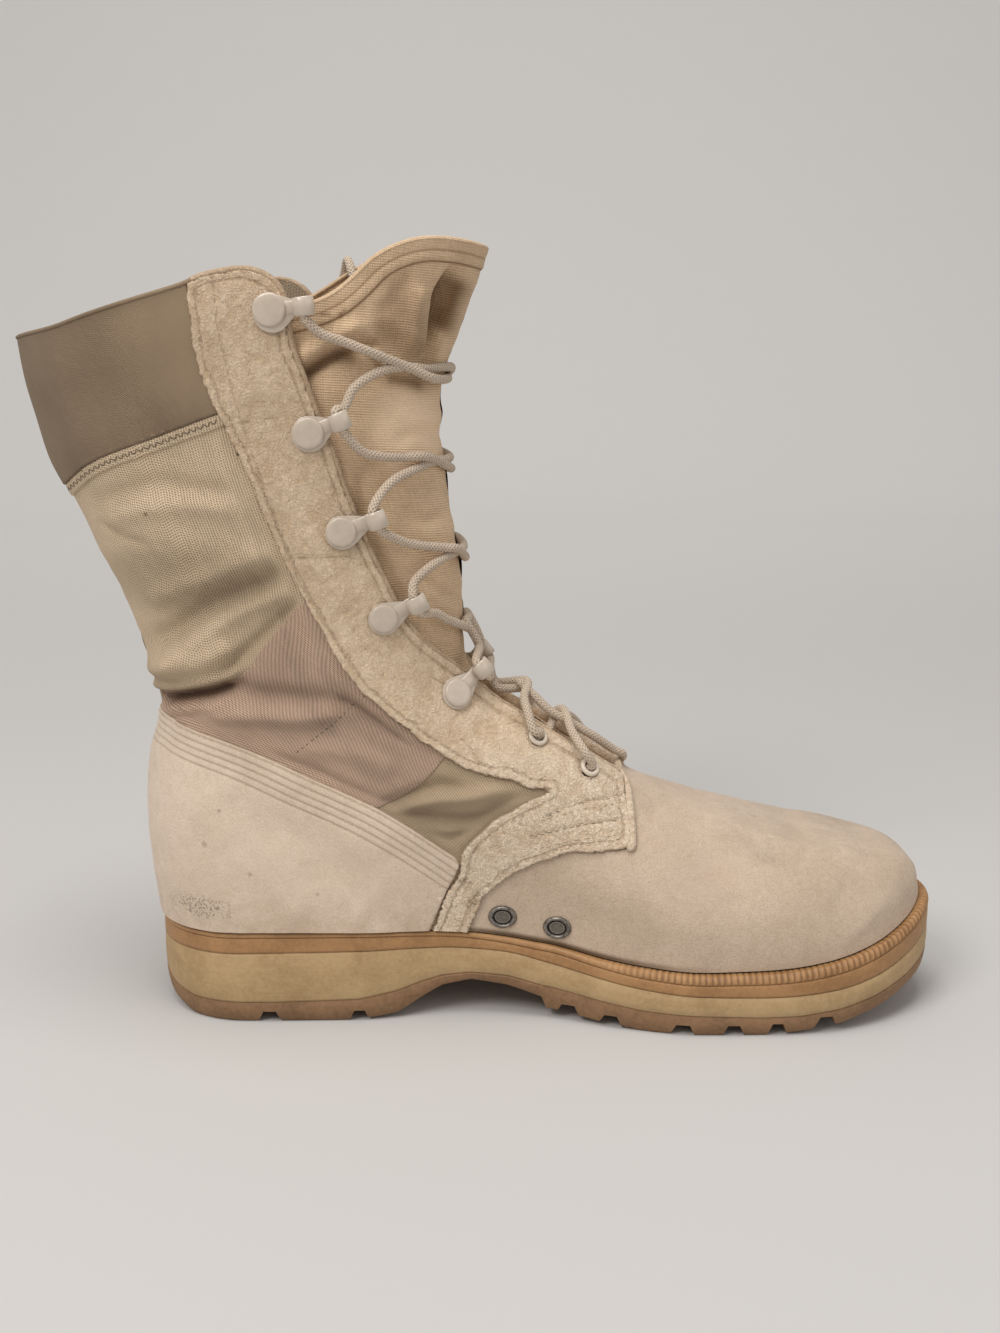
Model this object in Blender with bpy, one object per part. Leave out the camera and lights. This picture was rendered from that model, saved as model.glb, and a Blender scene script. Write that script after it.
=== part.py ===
"""Desert combat boot, left foot, standing empty on its sole.

Metres, +X to the toe, +Y to the outer (lateral) side, +Z up. The origin is on the floor
under the centre of the heel. The upper is one function of the side view: a front line, a
back line and half-widths. Every shell, overlay and fitting is worked out from it.
"""
import math

import bmesh
import bpy
import numpy as np
from mathutils import Matrix, Vector

# Driving dimensions of the last and the shaft.
LAST_LENGTH = 0.300
BALL_WIDTH = 0.107
LEG_WIDTH = 0.080
INSTEP_HEIGHT = 0.100
SHAFT_RISE = 0.150
SOLE_STACK = 0.036
HEEL_REST = 0.064

# Walls, overlays and the clearance that meeting pieces keep.
WALL = 0.0022
OVERLAY = 0.0013
TONGUE_WALL = 0.0016
INSOLE_THICKNESS = 0.003
GAP = 0.0003
SEAT_GAP = 0.0005
TONGUE_GAP = 0.0006
FITTING_GAP = 0.0008
TONGUE_LAP = 0.013
EYESTAY_WIDTH = 0.030

# The sole.
WELT_LEDGE = 0.0045
WELT_WIDTH = 0.010
TREAD_BEVEL = 0.003
LUG_DEPTH = 0.0043
HEEL_NOTCH = 0.020
CHEVRON = 0.009

# Lacing hardware and lace.
HOOK_SETBACK = 0.0100
EYELET_SETBACK = 0.0105
CAP_RADIUS = 0.0070
CAP_HEIGHT = 0.0030
HOOK_REACH = 0.0152
HOOK_PLATE = 0.0010
SLEEVE_RADIUS = 0.0031
SLEEVE_BORE = 0.0023
SLEEVE_LENGTH = 0.0062
LACE_RADIUS = 0.0018
EYELET_HOLE = 0.0031
EYELET_FLANGE = 0.0052
EYELET_BORE = 0.0021
EYELET_LIP = 0.0007
VENT_HOLE = 0.0044
VENT_FLANGE = 0.0058
VENT_BOWL = 0.0026

# Mesh density: columns around one side, rows up the foot (to 1) and up the shaft (to 2).
SIDE_COLUMNS = 18
ROWS = (0, 0.05, 0.12, 0.2, 0.3, 0.43, 0.58, 0.74, 0.88, 1, 1.07, 1.17, 1.35, 1.53, 1.69, 1.84, 2)

MEDIAL, LATERAL = -1, 1
FAR = 0.5

# Shares: along is of LAST_LENGTH from the back of the heel. up is of INSTEP_HEIGHT up to 1
# and of SHAFT_RISE beyond it. cap, medial and lateral are of BALL_WIDTH.
# Front line of the upper: toe tip, vamp ridge, instep and the nose of the tongue.
FRONT_LINE = (
    # along, up, cap
    (1.000, 0.425, 0.43),
    (0.992, 0.525, 0.43),
    (0.967, 0.615, 0.42),
    (0.922, 0.675, 0.41),
    (0.842, 0.725, 0.41),
    (0.770, 0.765, 0.42),
    (0.709, 0.810, 0.42),
    (0.630, 0.875, 0.42),
    (0.587, 0.940, 0.43),
    (0.550, 1.010, 0.43),
    (0.513, 1.053, 0.44),
    (0.480, 1.093, 0.44),
    (0.447, 1.140, 0.44),
    (0.420, 1.200, 0.45),
    (0.409, 1.260, 0.46),
    (0.408, 1.347, 0.47),
    (0.407, 1.453, 0.48),
    (0.398, 1.560, 0.49),
    (0.390, 1.673, 0.51),
    (0.382, 1.800, 0.53),
    (0.382, 1.893, 0.54),
    (0.398, 2.007, 0.55),
    (0.420, 2.120, 0.56),
    (0.440, 2.250, 0.57),
    (0.447, 2.313, 0.57),
)
FRONT_BEND = 12

# Back line: heel counter, ankle and the shaft's backward lean.
BACK_LINE = (
    # along, up, cap
    (0.003, 0.360, 0.34),
    (-0.003, 0.500, 0.34),
    (-0.007, 0.680, 0.34),
    (-0.008, 0.850, 0.34),
    (0.000, 1.000, 0.34),
    (0.010, 1.073, 0.34),
    (0.012, 1.120, 0.34),
    (0.005, 1.193, 0.35),
    (-0.007, 1.267, 0.36),
    (-0.020, 1.353, 0.37),
    (-0.033, 1.420, 0.38),
    (-0.048, 1.487, 0.38),
    (-0.067, 1.573, 0.39),
    (-0.093, 1.680, 0.40),
    (-0.110, 1.767, 0.40),
    (-0.127, 1.900, 0.41),
    (-0.137, 2.033, 0.42),
    (-0.142, 2.167, 0.42),
    (-0.143, 2.313, 0.42),
)
BACK_BEND = 6

# Half-widths of the foot at the welt, before the heel and toe are rounded off.
FOOT_WIDTHS = (
    # along, medial, lateral, ledge share of WELT_LEDGE
    (0.00, 0.340, 0.350, 0.15),
    (0.13, 0.343, 0.360, 0.15),
    (0.27, 0.335, 0.375, 0.15),
    (0.40, 0.285, 0.395, 0.18),
    (0.50, 0.300, 0.430, 0.45),
    (0.60, 0.370, 0.465, 0.90),
    (0.70, 0.420, 0.485, 1.00),
    (0.80, 0.415, 0.465, 1.00),
    (0.90, 0.375, 0.420, 1.00),
    (1.00, 0.330, 0.375, 0.95),
)

# Half-widths of the ankle and leg, as shares of LEG_WIDTH.
LEG_WIDTHS = (
    # up, half
    (0.36, 0.430),
    (0.85, 0.420),
    (1.07, 0.400),
    (1.20, 0.410),
    (1.35, 0.425),
    (1.60, 0.460),
    (2.00, 0.500),
    (2.32, 0.520),
)
ANKLE_BLEND = (0.42, 1.00)

# Heights of the sole's layers, as shares of SOLE_STACK.
SOLE_LEVELS = (
    # along, tread, cushion, rubber, welt, seat
    (0.000, 0.190, 0.370, 0.730, 0.915, 0.985),
    (0.027, 0.070, 0.270, 0.750, 0.925, 0.990),
    (0.053, 0.000, 0.225, 0.760, 0.935, 1.000),
    (0.160, 0.000, 0.225, 0.780, 0.950, 1.010),
    (0.267, 0.000, 0.250, 0.790, 0.950, 1.000),
    (0.317, 0.060, 0.330, 0.795, 0.940, 0.990),
    (0.347, 0.220, 0.415, 0.790, 0.925, 0.980),
    (0.373, 0.340, 0.467, 0.785, 0.910, 0.967),
    (0.410, 0.400, 0.495, 0.770, 0.885, 0.942),
    (0.457, 0.345, 0.470, 0.740, 0.835, 0.897),
    (0.500, 0.230, 0.380, 0.660, 0.775, 0.840),
    (0.505, 0.105, 0.375, 0.650, 0.770, 0.835),
    (0.573, 0.040, 0.295, 0.545, 0.665, 0.733),
    (0.623, 0.000, 0.240, 0.480, 0.600, 0.680),
    (0.697, 0.000, 0.225, 0.440, 0.565, 0.650),
    (0.773, 0.000, 0.207, 0.430, 0.572, 0.667),
    (0.820, 0.030, 0.217, 0.445, 0.600, 0.700),
    (0.873, 0.085, 0.267, 0.490, 0.667, 0.772),
    (0.920, 0.180, 0.350, 0.572, 0.767, 0.872),
    (0.967, 0.305, 0.470, 0.710, 0.917, 1.022),
    (1.000, 0.390, 0.570, 0.820, 1.040, 1.147),
    (1.015, 0.420, 0.600, 0.850, 1.070, 1.180),
)
TREAD, CUSHION, RUBBER, WELT, SEAT = 1, 2, 3, 4, 5

# Stations of the sole's outline along the last.
SOLE_STATIONS = (
    0.000, 0.003, 0.011, 0.027, 0.053, 0.100, 0.160, 0.210, 0.267, 0.317,
    0.347, 0.373, 0.410, 0.457, 0.500, 0.505, 0.540, 0.573, 0.623, 0.660,
    0.697, 0.735, 0.773, 0.820, 0.873, 0.920, 0.955, 0.980, 0.994, 1.000,
)

# Grooves across the tread: along, width share of LUG_DEPTH.
FOREFOOT_GROOVES = ((0.546, 1.45), (0.596, 1.45), (0.682, 1.60), (0.745, 1.45), (0.800, 1.30), (0.862, 1.55))
HEEL_GROOVES = ((0.154, 1.55), (0.268, 1.30))

# Throat edge of the eyestay, from its front end up to the collar.
THROAT_EDGE = (
    # along, up, width share of EYESTAY_WIDTH
    (0.602, 0.893, 0.60),
    (0.550, 0.985, 0.60),
    (0.513, 1.032, 0.64),
    (0.483, 1.073, 0.70),
    (0.447, 1.123, 0.80),
    (0.417, 1.177, 0.88),
    (0.387, 1.237, 0.92),
    (0.350, 1.311, 0.93),
    (0.327, 1.380, 0.93),
    (0.307, 1.467, 0.94),
    (0.288, 1.551, 0.96),
    (0.273, 1.633, 0.98),
    (0.260, 1.707, 1.00),
    (0.249, 1.784, 1.02),
    (0.233, 1.867, 1.05),
    (0.220, 1.947, 1.08),
    (0.208, 2.020, 1.10),
    (0.202, 2.120, 1.10),
)

# Collar edge from the back to the throat.
COLLAR_EDGE = (
    (-0.180, 2.020),
    (-0.137, 2.031),
    (-0.072, 2.052),
    (-0.022, 2.083),
    (0.030, 2.115),
    (0.084, 2.146),
    (0.113, 2.169),
    (0.150, 2.182),
    (0.173, 2.177),
    (0.193, 2.153),
    (0.202, 2.120),
)

# Lower seam of the collar band, from the back to the eyestay.
BAND_SEAM = ((-0.180, 1.650), (-0.105, 1.665), (-0.030, 1.750), (0.045, 1.805), (0.123, 1.862), (0.170, 1.890))

# Heel counter's top edge, from the back to the strap.
COUNTER_TOP = (
    (-0.060, 1.125),
    (0.032, 1.110),
    (0.053, 1.098),
    (0.110, 1.065),
    (0.156, 1.029),
    (0.212, 0.964),
    (0.252, 0.910),
    (0.296, 0.845),
    (0.339, 0.763),
    (0.383, 0.668),
    (0.397, 0.635),
)

# Strap that ties the eyestay to the welt: its edge to the heel and its edge to the vamp.
STRAP_BACK = ((0.508, 0.888), (0.460, 0.830), (0.428, 0.765), (0.403, 0.690), (0.396, 0.600), (0.378, 0.490), (0.352, 0.300))
STRAP_FRONT = ((0.602, 0.668), (0.543, 0.665), (0.500, 0.633), (0.464, 0.578), (0.433, 0.507), (0.418, 0.436), (0.400, 0.300))

# Top hem of the tongue, from behind the eyestay to its nose.
TONGUE_TOP = (
    (0.120, 2.060),
    (0.202, 2.090),
    (0.250, 2.120),
    (0.280, 2.165),
    (0.305, 2.215),
    (0.335, 2.252),
    (0.365, 2.271),
    (0.403, 2.268),
    (0.450, 2.245),
    (0.520, 2.230),
)

# Lacing stations, as shares of the throat edge from its front end.
HOOK_STATIONS = (0.985, 0.800, 0.640, 0.485, 0.315)
EYELET_STATIONS = (0.195, 0.090)

# Ventilation eyelets on the medial side: along, up.
VENTS = ((0.450, 0.425), (0.516, 0.392))

# Offset of a strand's centre from the upper's surface, over the tongue and over a fitting.
LACE_LIFT = LACE_RADIUS + GAP * 5 - WALL - TONGUE_GAP
FITTING_LIFT = OVERLAY + FITTING_GAP + EYELET_LIP + LACE_RADIUS + GAP * 6

LEATHER = ("suede_leather", (0.70, 0.57, 0.44), 0.92, 0.0)
CANVAS = ("canvas", (0.55, 0.45, 0.30), 0.88, 0.0)
BAND_CLOTH = ("collar_cloth", (0.42, 0.32, 0.21), 0.9, 0.0)
TONGUE_CLOTH = ("tongue_cloth", (0.50, 0.39, 0.25), 0.9, 0.0)
TREAD_RUBBER = ("tread_rubber", (0.36, 0.24, 0.15), 0.7, 0.0)
CUSHION_FOAM = ("cushion_foam", (0.58, 0.44, 0.22), 0.75, 0.0)
MIDSOLE_RUBBER = ("midsole_rubber", (0.47, 0.28, 0.12), 0.65, 0.0)
WELT_RUBBER = ("welt_rubber", (0.52, 0.33, 0.16), 0.65, 0.0)
INSOLE_FELT = ("insole_felt", (0.35, 0.30, 0.24), 0.95, 0.0)
HOOK_ENAMEL = ("hook_enamel", (0.62, 0.55, 0.45), 0.45, 0.0)
VENT_METAL = ("vent_metal", (0.16, 0.15, 0.13), 0.45, 0.9)
LACE_CORD = ("lace_cord", (0.62, 0.53, 0.40), 0.9, 0.0)


def rise(up):
    """Height of an up share."""
    up = np.asarray(up, float)
    return np.minimum(up, 1) * INSTEP_HEIGHT + np.maximum(up - 1, 0) * SHAFT_RISE


def side_points(rows):
    """The first two columns of a table as side-view points in metres."""
    table = np.array([row[:2] for row in rows], float)
    return np.column_stack([table[:, 0] * LAST_LENGTH, rise(table[:, 1])])


def smooth_path(points, count, columns=None):
    """A smooth curve through points, sampled evenly by length, with further columns carried along."""
    points = np.asarray(points, float)
    ends = np.vstack([2 * points[0] - points[1], points, 2 * points[-1] - points[-2]])
    step = np.linspace(0, 1, 12, endpoint=False)[:, None]
    dense = []
    for i in range(len(points) - 1):
        a, b, c, d = ends[i : i + 4]
        dense.append(
            b + 0.5 * step * (c - a + step * (2 * a - 5 * b + 4 * c - d + step * (3 * (b - c) + d - a)))
        )
    dense = np.vstack(dense + [points[-1:]])
    share = np.concatenate([[0], np.cumsum(np.linalg.norm(np.diff(dense, axis=0), axis=1))])
    share /= share[-1]
    at = np.linspace(0, 1, count)
    out = np.column_stack([np.interp(at, share, dense[:, k]) for k in range(dense.shape[1])])
    if columns is None:
        return out
    knots = share[::12]
    return out, np.interp(at, knots, columns)


def joined_line(rows, bend, count):
    """A profile line in two equal halves of samples, below and above its bend, with its cap depths."""
    points = side_points(rows)
    caps = np.array([row[2] for row in rows]) * BALL_WIDTH
    low, low_cap = smooth_path(points[: bend + 1], count, caps[: bend + 1])
    high, high_cap = smooth_path(points[bend:], count, caps[bend:])
    return np.vstack([low, high[1:]]), np.concatenate([low_cap, high_cap[1:]])


def level(layer, x):
    """Height of one layer of the sole at x."""
    table = np.array(SOLE_LEVELS)
    return np.interp(x, table[:, 0] * LAST_LENGTH, table[:, layer] * SOLE_STACK)


LINE_SAMPLES = 90
FRONT, FRONT_CAP = joined_line(FRONT_LINE, FRONT_BEND, LINE_SAMPLES)
BACK, BACK_CAP = joined_line(BACK_LINE, BACK_BEND, LINE_SAMPLES)
FRONT[0, 1] = level(SEAT, FRONT[0, 0]) + SEAT_GAP
BACK[0, 1] = level(SEAT, BACK[0, 0]) + SEAT_GAP


def rounding(x, z, line, caps):
    """Share of the full width at a side-view point, falling to nothing on the line as an ellipse does."""
    away = np.hypot(x[..., None] - line[:, 0], z[..., None] - line[:, 1])
    nearest = away.argmin(-1)
    depth = np.minimum(away.min(-1) / caps[nearest], 1)
    return np.sqrt(1 - (1 - depth) ** 2)


def half_width(x, z, side):
    """Half-width of the upper's outer surface at a side-view point."""
    foot = np.array(FOOT_WIDTHS)
    leg = np.array(LEG_WIDTHS)
    column = 1 if side == MEDIAL else 2
    low = np.interp(x, foot[:, 0] * LAST_LENGTH, foot[:, column] * BALL_WIDTH)
    high = np.interp(z, rise(leg[:, 0]), leg[:, 1] * LEG_WIDTH)
    start, end = (rise(share) for share in ANKLE_BLEND)
    t = np.clip((z - start) / (end - start), 0, 1)
    width = low + (high - low) * t * t * (3 - 2 * t)
    return width * rounding(x, z, FRONT, FRONT_CAP) * rounding(x, z, BACK, BACK_CAP)


def run_share(around):
    """Share of the way from the back line to the front line, even about both, with the mid-side evenly spread."""
    a = math.pi * np.asarray(around, float)
    return 0.5 - 0.5 * (0.92 * np.cos(a) + 0.08 * np.cos(3 * a))


def ring_point(around, up, side):
    """Point of the upper. around runs from the back at 0 to the front at 1, up from the welt at 0 to the bend at 1 and the top at 2."""
    at = np.linspace(0, 2, len(FRONT))
    back = np.column_stack([np.interp(up, at, BACK[:, k]) for k in (0, 1)])
    front = np.column_stack([np.interp(up, at, FRONT[:, k]) for k in (0, 1)])
    share = run_share(around)
    x = back[:, 0] + (front[:, 0] - back[:, 0]) * share
    z = back[:, 1] + (front[:, 1] - back[:, 1]) * share
    chord = BACK[0, 1] + (FRONT[0, 1] - BACK[0, 1]) * share
    dip = level(SEAT, x) + SEAT_GAP - chord
    z = z + dip * np.clip(1 - up, 0, 1) ** 2
    y = side * half_width(x, z, side) * np.where(np.sin(math.pi * around) < 0, -1, 1)
    return np.column_stack([x, y, z])


def surface(around, up, side, offset):
    """Points of the upper moved out along its own normals."""
    d = 2e-3
    here = ring_point(around, up, side)
    across = ring_point(around + d, up, side) - ring_point(around - d, up, side)
    high, low = np.minimum(up + d, 2), np.maximum(up - d, 0)
    along = ring_point(around, high, side) - ring_point(around, low, side)
    normal = np.cross(across, along) * -side
    seam = np.isin(around, (0.0, 1.0))
    normal[seam, 1] = 0
    normal[up == 0, 2] = 0
    normal /= np.linalg.norm(normal, axis=1)[:, None]
    return here + normal * offset


def on_side(x, z, side, offset=0.0):
    """Point and outward normal of the upper at a side-view point."""
    d = 4e-4
    spots = np.array([(x, z), (x + d, z), (x - d, z), (x, z + d), (x, z - d)])
    y = half_width(spots[:, 0], spots[:, 1], side)
    normal = Vector((-(y[1] - y[2]) / (2 * d), side, -(y[3] - y[4]) / (2 * d))).normalized()
    return Vector((x, side * y[0], z)) + normal * offset, normal


def clear_scene():
    for item in list(bpy.data.objects):
        bpy.data.objects.remove(item, do_unlink=True)


def new_collection(name):
    group = bpy.data.collections.new(name)
    bpy.context.scene.collection.children.link(group)
    return group


def material(finish):
    """Principled material of a finish, made once."""
    name, colour, roughness, metallic = finish
    found = bpy.data.materials.get(name)
    if found:
        return found
    made = bpy.data.materials.new(name)
    made.use_nodes = True
    shader = made.node_tree.nodes["Principled BSDF"]
    shader.inputs["Base Color"].default_value = (*colour, 1)
    shader.inputs["Roughness"].default_value = roughness
    shader.inputs["Metallic"].default_value = metallic
    made.diffuse_color = (*colour, 1)
    return made


def add_object(name, mesh, finish, group, root):
    """Links a mesh as a part of the boot."""
    part = bpy.data.objects.new(name, mesh)
    group.objects.link(part)
    part.parent = root
    if finish:
        if not mesh.materials:
            mesh.materials.append(material(finish))
        mesh.shade_smooth()
        mesh.set_sharp_from_angle(angle=math.radians(35))
    else:
        part.hide_render = True
        part.display_type = "WIRE"
    return part


def mesh_from(name, vertices, faces):
    """Mesh from points and faces, with its normals made consistent and outward."""
    mesh = bpy.data.meshes.new(name)
    mesh.from_pydata([tuple(v) for v in vertices], [], faces)
    shape = bmesh.new()
    shape.from_mesh(mesh)
    bmesh.ops.recalc_face_normals(shape, faces=shape.faces)
    shape.to_mesh(mesh)
    shape.free()
    return mesh


def shell_mesh(name, offset, thickness, span=(0, 2)):
    """A closed wall of the upper over a span of rows: its outer face at an offset and its inner face below it."""
    medial = np.arange(SIDE_COLUMNS + 1) / SIDE_COLUMNS
    lateral = medial[-2:0:-1]
    ups = [up for up in ROWS if span[0] <= up <= span[1]]
    rings = []
    for up, out in [(up, offset) for up in ups] + [(up, offset - thickness) for up in reversed(ups)]:
        first = surface(medial, np.full(len(medial), up), MEDIAL, out)
        second = surface(lateral, np.full(len(lateral), up), LATERAL, out)
        rings.append(np.vstack([first, second]))
    count = len(rings[0])
    last = len(rings) - 1
    faces = []
    for a in range(len(rings)):
        b = a + 1 if a < last else 0
        for j in range(count):
            k = (j + 1) % count
            corners = [a * count + j, a * count + k, b * count + k, b * count + j]
            if a > last // 2:
                corners = corners[1:] + corners[:1]
            faces.append((corners[0], corners[1], corners[2]))
            faces.append((corners[0], corners[2], corners[3]))
    return mesh_from(name, np.vstack(rings), faces)


def add_boolean(part, cutter, operation):
    modifier = part.modifiers.new(operation.lower(), "BOOLEAN")
    modifier.operation = operation
    modifier.object = cutter
    modifier.solver = "EXACT"


def prism(name, outline, low, high, group, root):
    """Cutter: a side-view outline extruded across Y."""
    shape = bmesh.new()
    corners = [shape.verts.new((x, low, z)) for x, z in outline]
    face = shape.faces.new(corners)
    moved = bmesh.ops.extrude_face_region(shape, geom=[face])
    for item in moved["geom"]:
        if isinstance(item, bmesh.types.BMVert):
            item.co.y = high
    bmesh.ops.recalc_face_normals(shape, faces=shape.faces)
    mesh = bpy.data.meshes.new(name)
    shape.to_mesh(mesh)
    shape.free()
    return add_object(name, mesh, None, group, root)


def across(side):
    """Low and high Y of a cutter for one side, or for both when side is None."""
    if side is None:
        return -FAR, FAR
    return (-FAR, 0.0) if side == MEDIAL else (0.0, FAR)


def throat_curve(count=20):
    """Throat edge, its forward normals in the side view and the eyestay's width along it."""
    widths = np.array([row[2] for row in THROAT_EDGE]) * EYESTAY_WIDTH
    points, width = smooth_path(side_points(THROAT_EDGE), count, widths)
    tangent = np.gradient(points, axis=0)
    tangent /= np.linalg.norm(tangent, axis=1)[:, None]
    normal = np.column_stack([tangent[:, 1], -tangent[:, 0]])
    return points, normal, width


def throat_station(share, setback):
    """Side-view point set back from the throat edge, and the forward direction there."""
    points, normal, _ = throat_curve(200)
    i = int(round(share * 199))
    return points[i] - normal[i] * setback, normal[i]


def opening_outline():
    """Outline of everything above the collar and in front of the throat."""
    throat, _, _ = throat_curve()
    collar = smooth_path(side_points(COLLAR_EDGE), 12)
    front = throat[0] + (0, FAR)
    return [(collar[0, 0] - FAR, collar[0, 1]), *collar, *throat[::-1], tuple(front), (-FAR, front[1])]


def eyestay_outline():
    """Eyestay, its front tab and the strap down to the welt, as one outline."""
    throat, normal, width = throat_curve()
    outer = throat - normal * width[:, None]
    apex = side_points(STRAP_BACK)[0]
    outer = outer[outer[:, 1] > apex[1]]
    outer = outer[outer[:, 0] < apex[0]]
    back = smooth_path(side_points(STRAP_BACK), 9)
    front = smooth_path(side_points(STRAP_FRONT), 9)
    top = smooth_path(side_points(COLLAR_EDGE), 12)
    top = top[top[:, 0] > outer[-1, 0] + GAP]
    lift = (outer[-1, 0], np.interp(outer[-1, 0], *smooth_path(side_points(COLLAR_EDGE), 12).T))
    outer = outer[outer[:, 1] < lift[1] - GAP]
    return [*throat[::-1][1:], *front, *back[::-1], *outer, lift, *top]


def counter_outline():
    """Heel counter: below its top edge and behind the strap."""
    top = smooth_path(side_points(COUNTER_TOP), 10)
    strap = smooth_path(side_points(STRAP_BACK), 9)
    strap = strap[strap[:, 1] < top[-1, 1]] - (GAP * 2, 0)
    top = top[top[:, 0] < strap[0, 0]]
    return [(top[0, 0] - FAR, top[0, 1]), *top, *strap, (strap[-1, 0], -FAR), (-FAR, -FAR)]


def band_outline():
    """Collar band: between its seam and the collar edge, behind the eyestay."""
    throat, normal, width = throat_curve()
    edge = (throat - normal * (width[:, None] + GAP * 2))[::-1]
    seam = smooth_path(side_points(BAND_SEAM), 7)
    collar = smooth_path(side_points(COLLAR_EDGE), 12)
    collar = collar[collar[:, 0] < edge[0, 0] - GAP]
    seam = seam[seam[:, 0] < np.interp(seam[:, 1], edge[::-1, 1], edge[::-1, 0]) - GAP]
    edge = edge[(edge[:, 1] > seam[-1, 1]) & (edge[:, 1] < collar[-1, 1])]
    return [(seam[0, 0] - FAR, seam[0, 1]), (collar[0, 0] - FAR, collar[0, 1]), *collar, *edge, *seam[::-1]]


def tongue_outline():
    """Tongue: from behind the throat edge forward, under its top hem."""
    throat, normal, _ = throat_curve()
    behind = throat - normal * TONGUE_LAP
    hem = smooth_path(side_points(TONGUE_TOP), 12)
    top = np.interp(behind[-1, 0], hem[:, 0], hem[:, 1])
    behind = behind[behind[:, 1] < top - GAP]
    hem = hem[hem[:, 0] > behind[-1, 0]]
    toe = throat[0] + (TONGUE_LAP, 0)
    return [(toe[0], behind[0, 1]), *behind, (behind[-1, 0], top), *hem, (toe[0], hem[-1, 1])]


def add_shell(name, finish, offset, thickness, outline, side, span, groups, root):
    """A wall cut from the upper's own function by a side-view outline, of which the upper keeps the outside."""
    parts, cutters = groups
    part = add_object(name, shell_mesh(name, offset, thickness, span), finish, parts, root)
    low, high = across(side)
    cutter = prism("cut_" + name, outline, low, high, cutters, root)
    add_boolean(part, cutter, "DIFFERENCE" if name == "upper" else "INTERSECT")
    return part


def outline_points(inset):
    """Points of the sole's outline at an inset from the welt's edge: medial then lateral, heel to toe."""
    share = np.array(SOLE_STATIONS)
    grid = np.linspace(0, 1, 2001)
    around = np.interp(share, run_share(grid), grid)
    ledge = np.array(FOOT_WIDTHS)
    sides = []
    for side in (MEDIAL, LATERAL):
        d = 1e-3
        flat = np.zeros(len(around))
        here = ring_point(around, flat, side)
        run = ring_point(around + d, flat, side) - ring_point(around - d, flat, side)
        normal = np.column_stack([-run[:, 1], run[:, 0]]) * side
        normal /= np.linalg.norm(normal, axis=1)[:, None]
        normal[0], normal[-1] = (-1, 0), (1, 0)
        reach = np.interp(here[:, 0], ledge[:, 0] * LAST_LENGTH, ledge[:, 3] * WELT_LEDGE) - inset
        sides.append(here[:, :2] + normal * reach[:, None])
    return sides


def outline_ring(inset, height):
    """One closed ring of the sole: up the medial side and back down the lateral side."""
    medial, lateral = outline_points(inset)
    flat = np.vstack([medial, lateral[-2:0:-1]])
    return np.column_stack([flat, height(flat[:, 0])])


def stack_mesh(name, rings, closed_tube=False):
    """Sole layer from rings, either capped at both ends or closed round as a strip."""
    count = len(rings[0])
    half = len(SOLE_STATIONS)
    links = list(zip(range(len(rings) - 1), range(1, len(rings))))
    if closed_tube:
        links.append((len(rings) - 1, 0))
    faces = [
        (a * count + j, a * count + (j + 1) % count, b * count + (j + 1) % count, b * count + j)
        for a, b in links
        for j in range(count)
    ]
    if not closed_tube:
        for base in (0, (len(rings) - 1) * count):
            for j in range(half - 1):
                left, right = (count - j) % count, count - j - 1
                corners = [base + j, base + j + 1, base + right, base + left]
                faces.append(tuple(dict.fromkeys(corners)))
    return mesh_from(name, np.vstack(rings), faces)


def layer(name_of_level, shift=0.0):
    return lambda x: level(name_of_level, x) + shift


def add_outsole(groups, root):
    """Tread layer with chevron grooves under the forefoot and edge notches under the heel."""
    parts, cutters = groups
    rings = [
        outline_ring(TREAD_BEVEL, layer(TREAD)),
        outline_ring(TREAD_BEVEL / 4, lambda x: 0.4 * level(TREAD, x) + 0.6 * level(CUSHION, x)),
        outline_ring(GAP, layer(CUSHION, -GAP / 2)),
    ]
    part = add_object("outsole", stack_mesh("outsole", rings), TREAD_RUBBER, parts, root)
    shape = bmesh.new()
    for along, width in FOREFOOT_GROOVES:
        x = along * LAST_LENGTH
        half = BALL_WIDTH * 0.6
        add_groove(shape, [(x, -half), (x - CHEVRON, 0), (x, half)], width * LUG_DEPTH)
    for along, width in HEEL_GROOVES:
        x = along * LAST_LENGTH
        medial, lateral = (outline_points(HEEL_NOTCH)[k] for k in (0, 1))
        for edge in (medial, lateral):
            inner = np.interp(x, edge[:, 0], edge[:, 1])
            add_groove(shape, [(x, inner), (x, math.copysign(FAR, inner))], width * LUG_DEPTH)
    bmesh.ops.recalc_face_normals(shape, faces=shape.faces)
    mesh = bpy.data.meshes.new("cut_grooves")
    shape.to_mesh(mesh)
    shape.free()
    cutter = add_object("cut_grooves", mesh, None, cutters, root)
    add_boolean(part, cutter, "DIFFERENCE")


def add_groove(shape, line, width):
    """Prism under the tread along a plan line, as deep as a lug."""
    x = line[0][0]
    low, high = -FAR / 10, float(level(TREAD, x)) + LUG_DEPTH
    plan = [(px - width / 2, py) for px, py in line] + [(px + width / 2, py) for px, py in reversed(line)]
    bottom = [shape.verts.new((px, py, low)) for px, py in plan]
    top = [shape.verts.new((px, py, high)) for px, py in plan]
    shape.faces.new(bottom)
    shape.faces.new(top[::-1])
    for i in range(len(plan)):
        j = (i + 1) % len(plan)
        shape.faces.new((bottom[i], bottom[j], top[j], top[i]))


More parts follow.
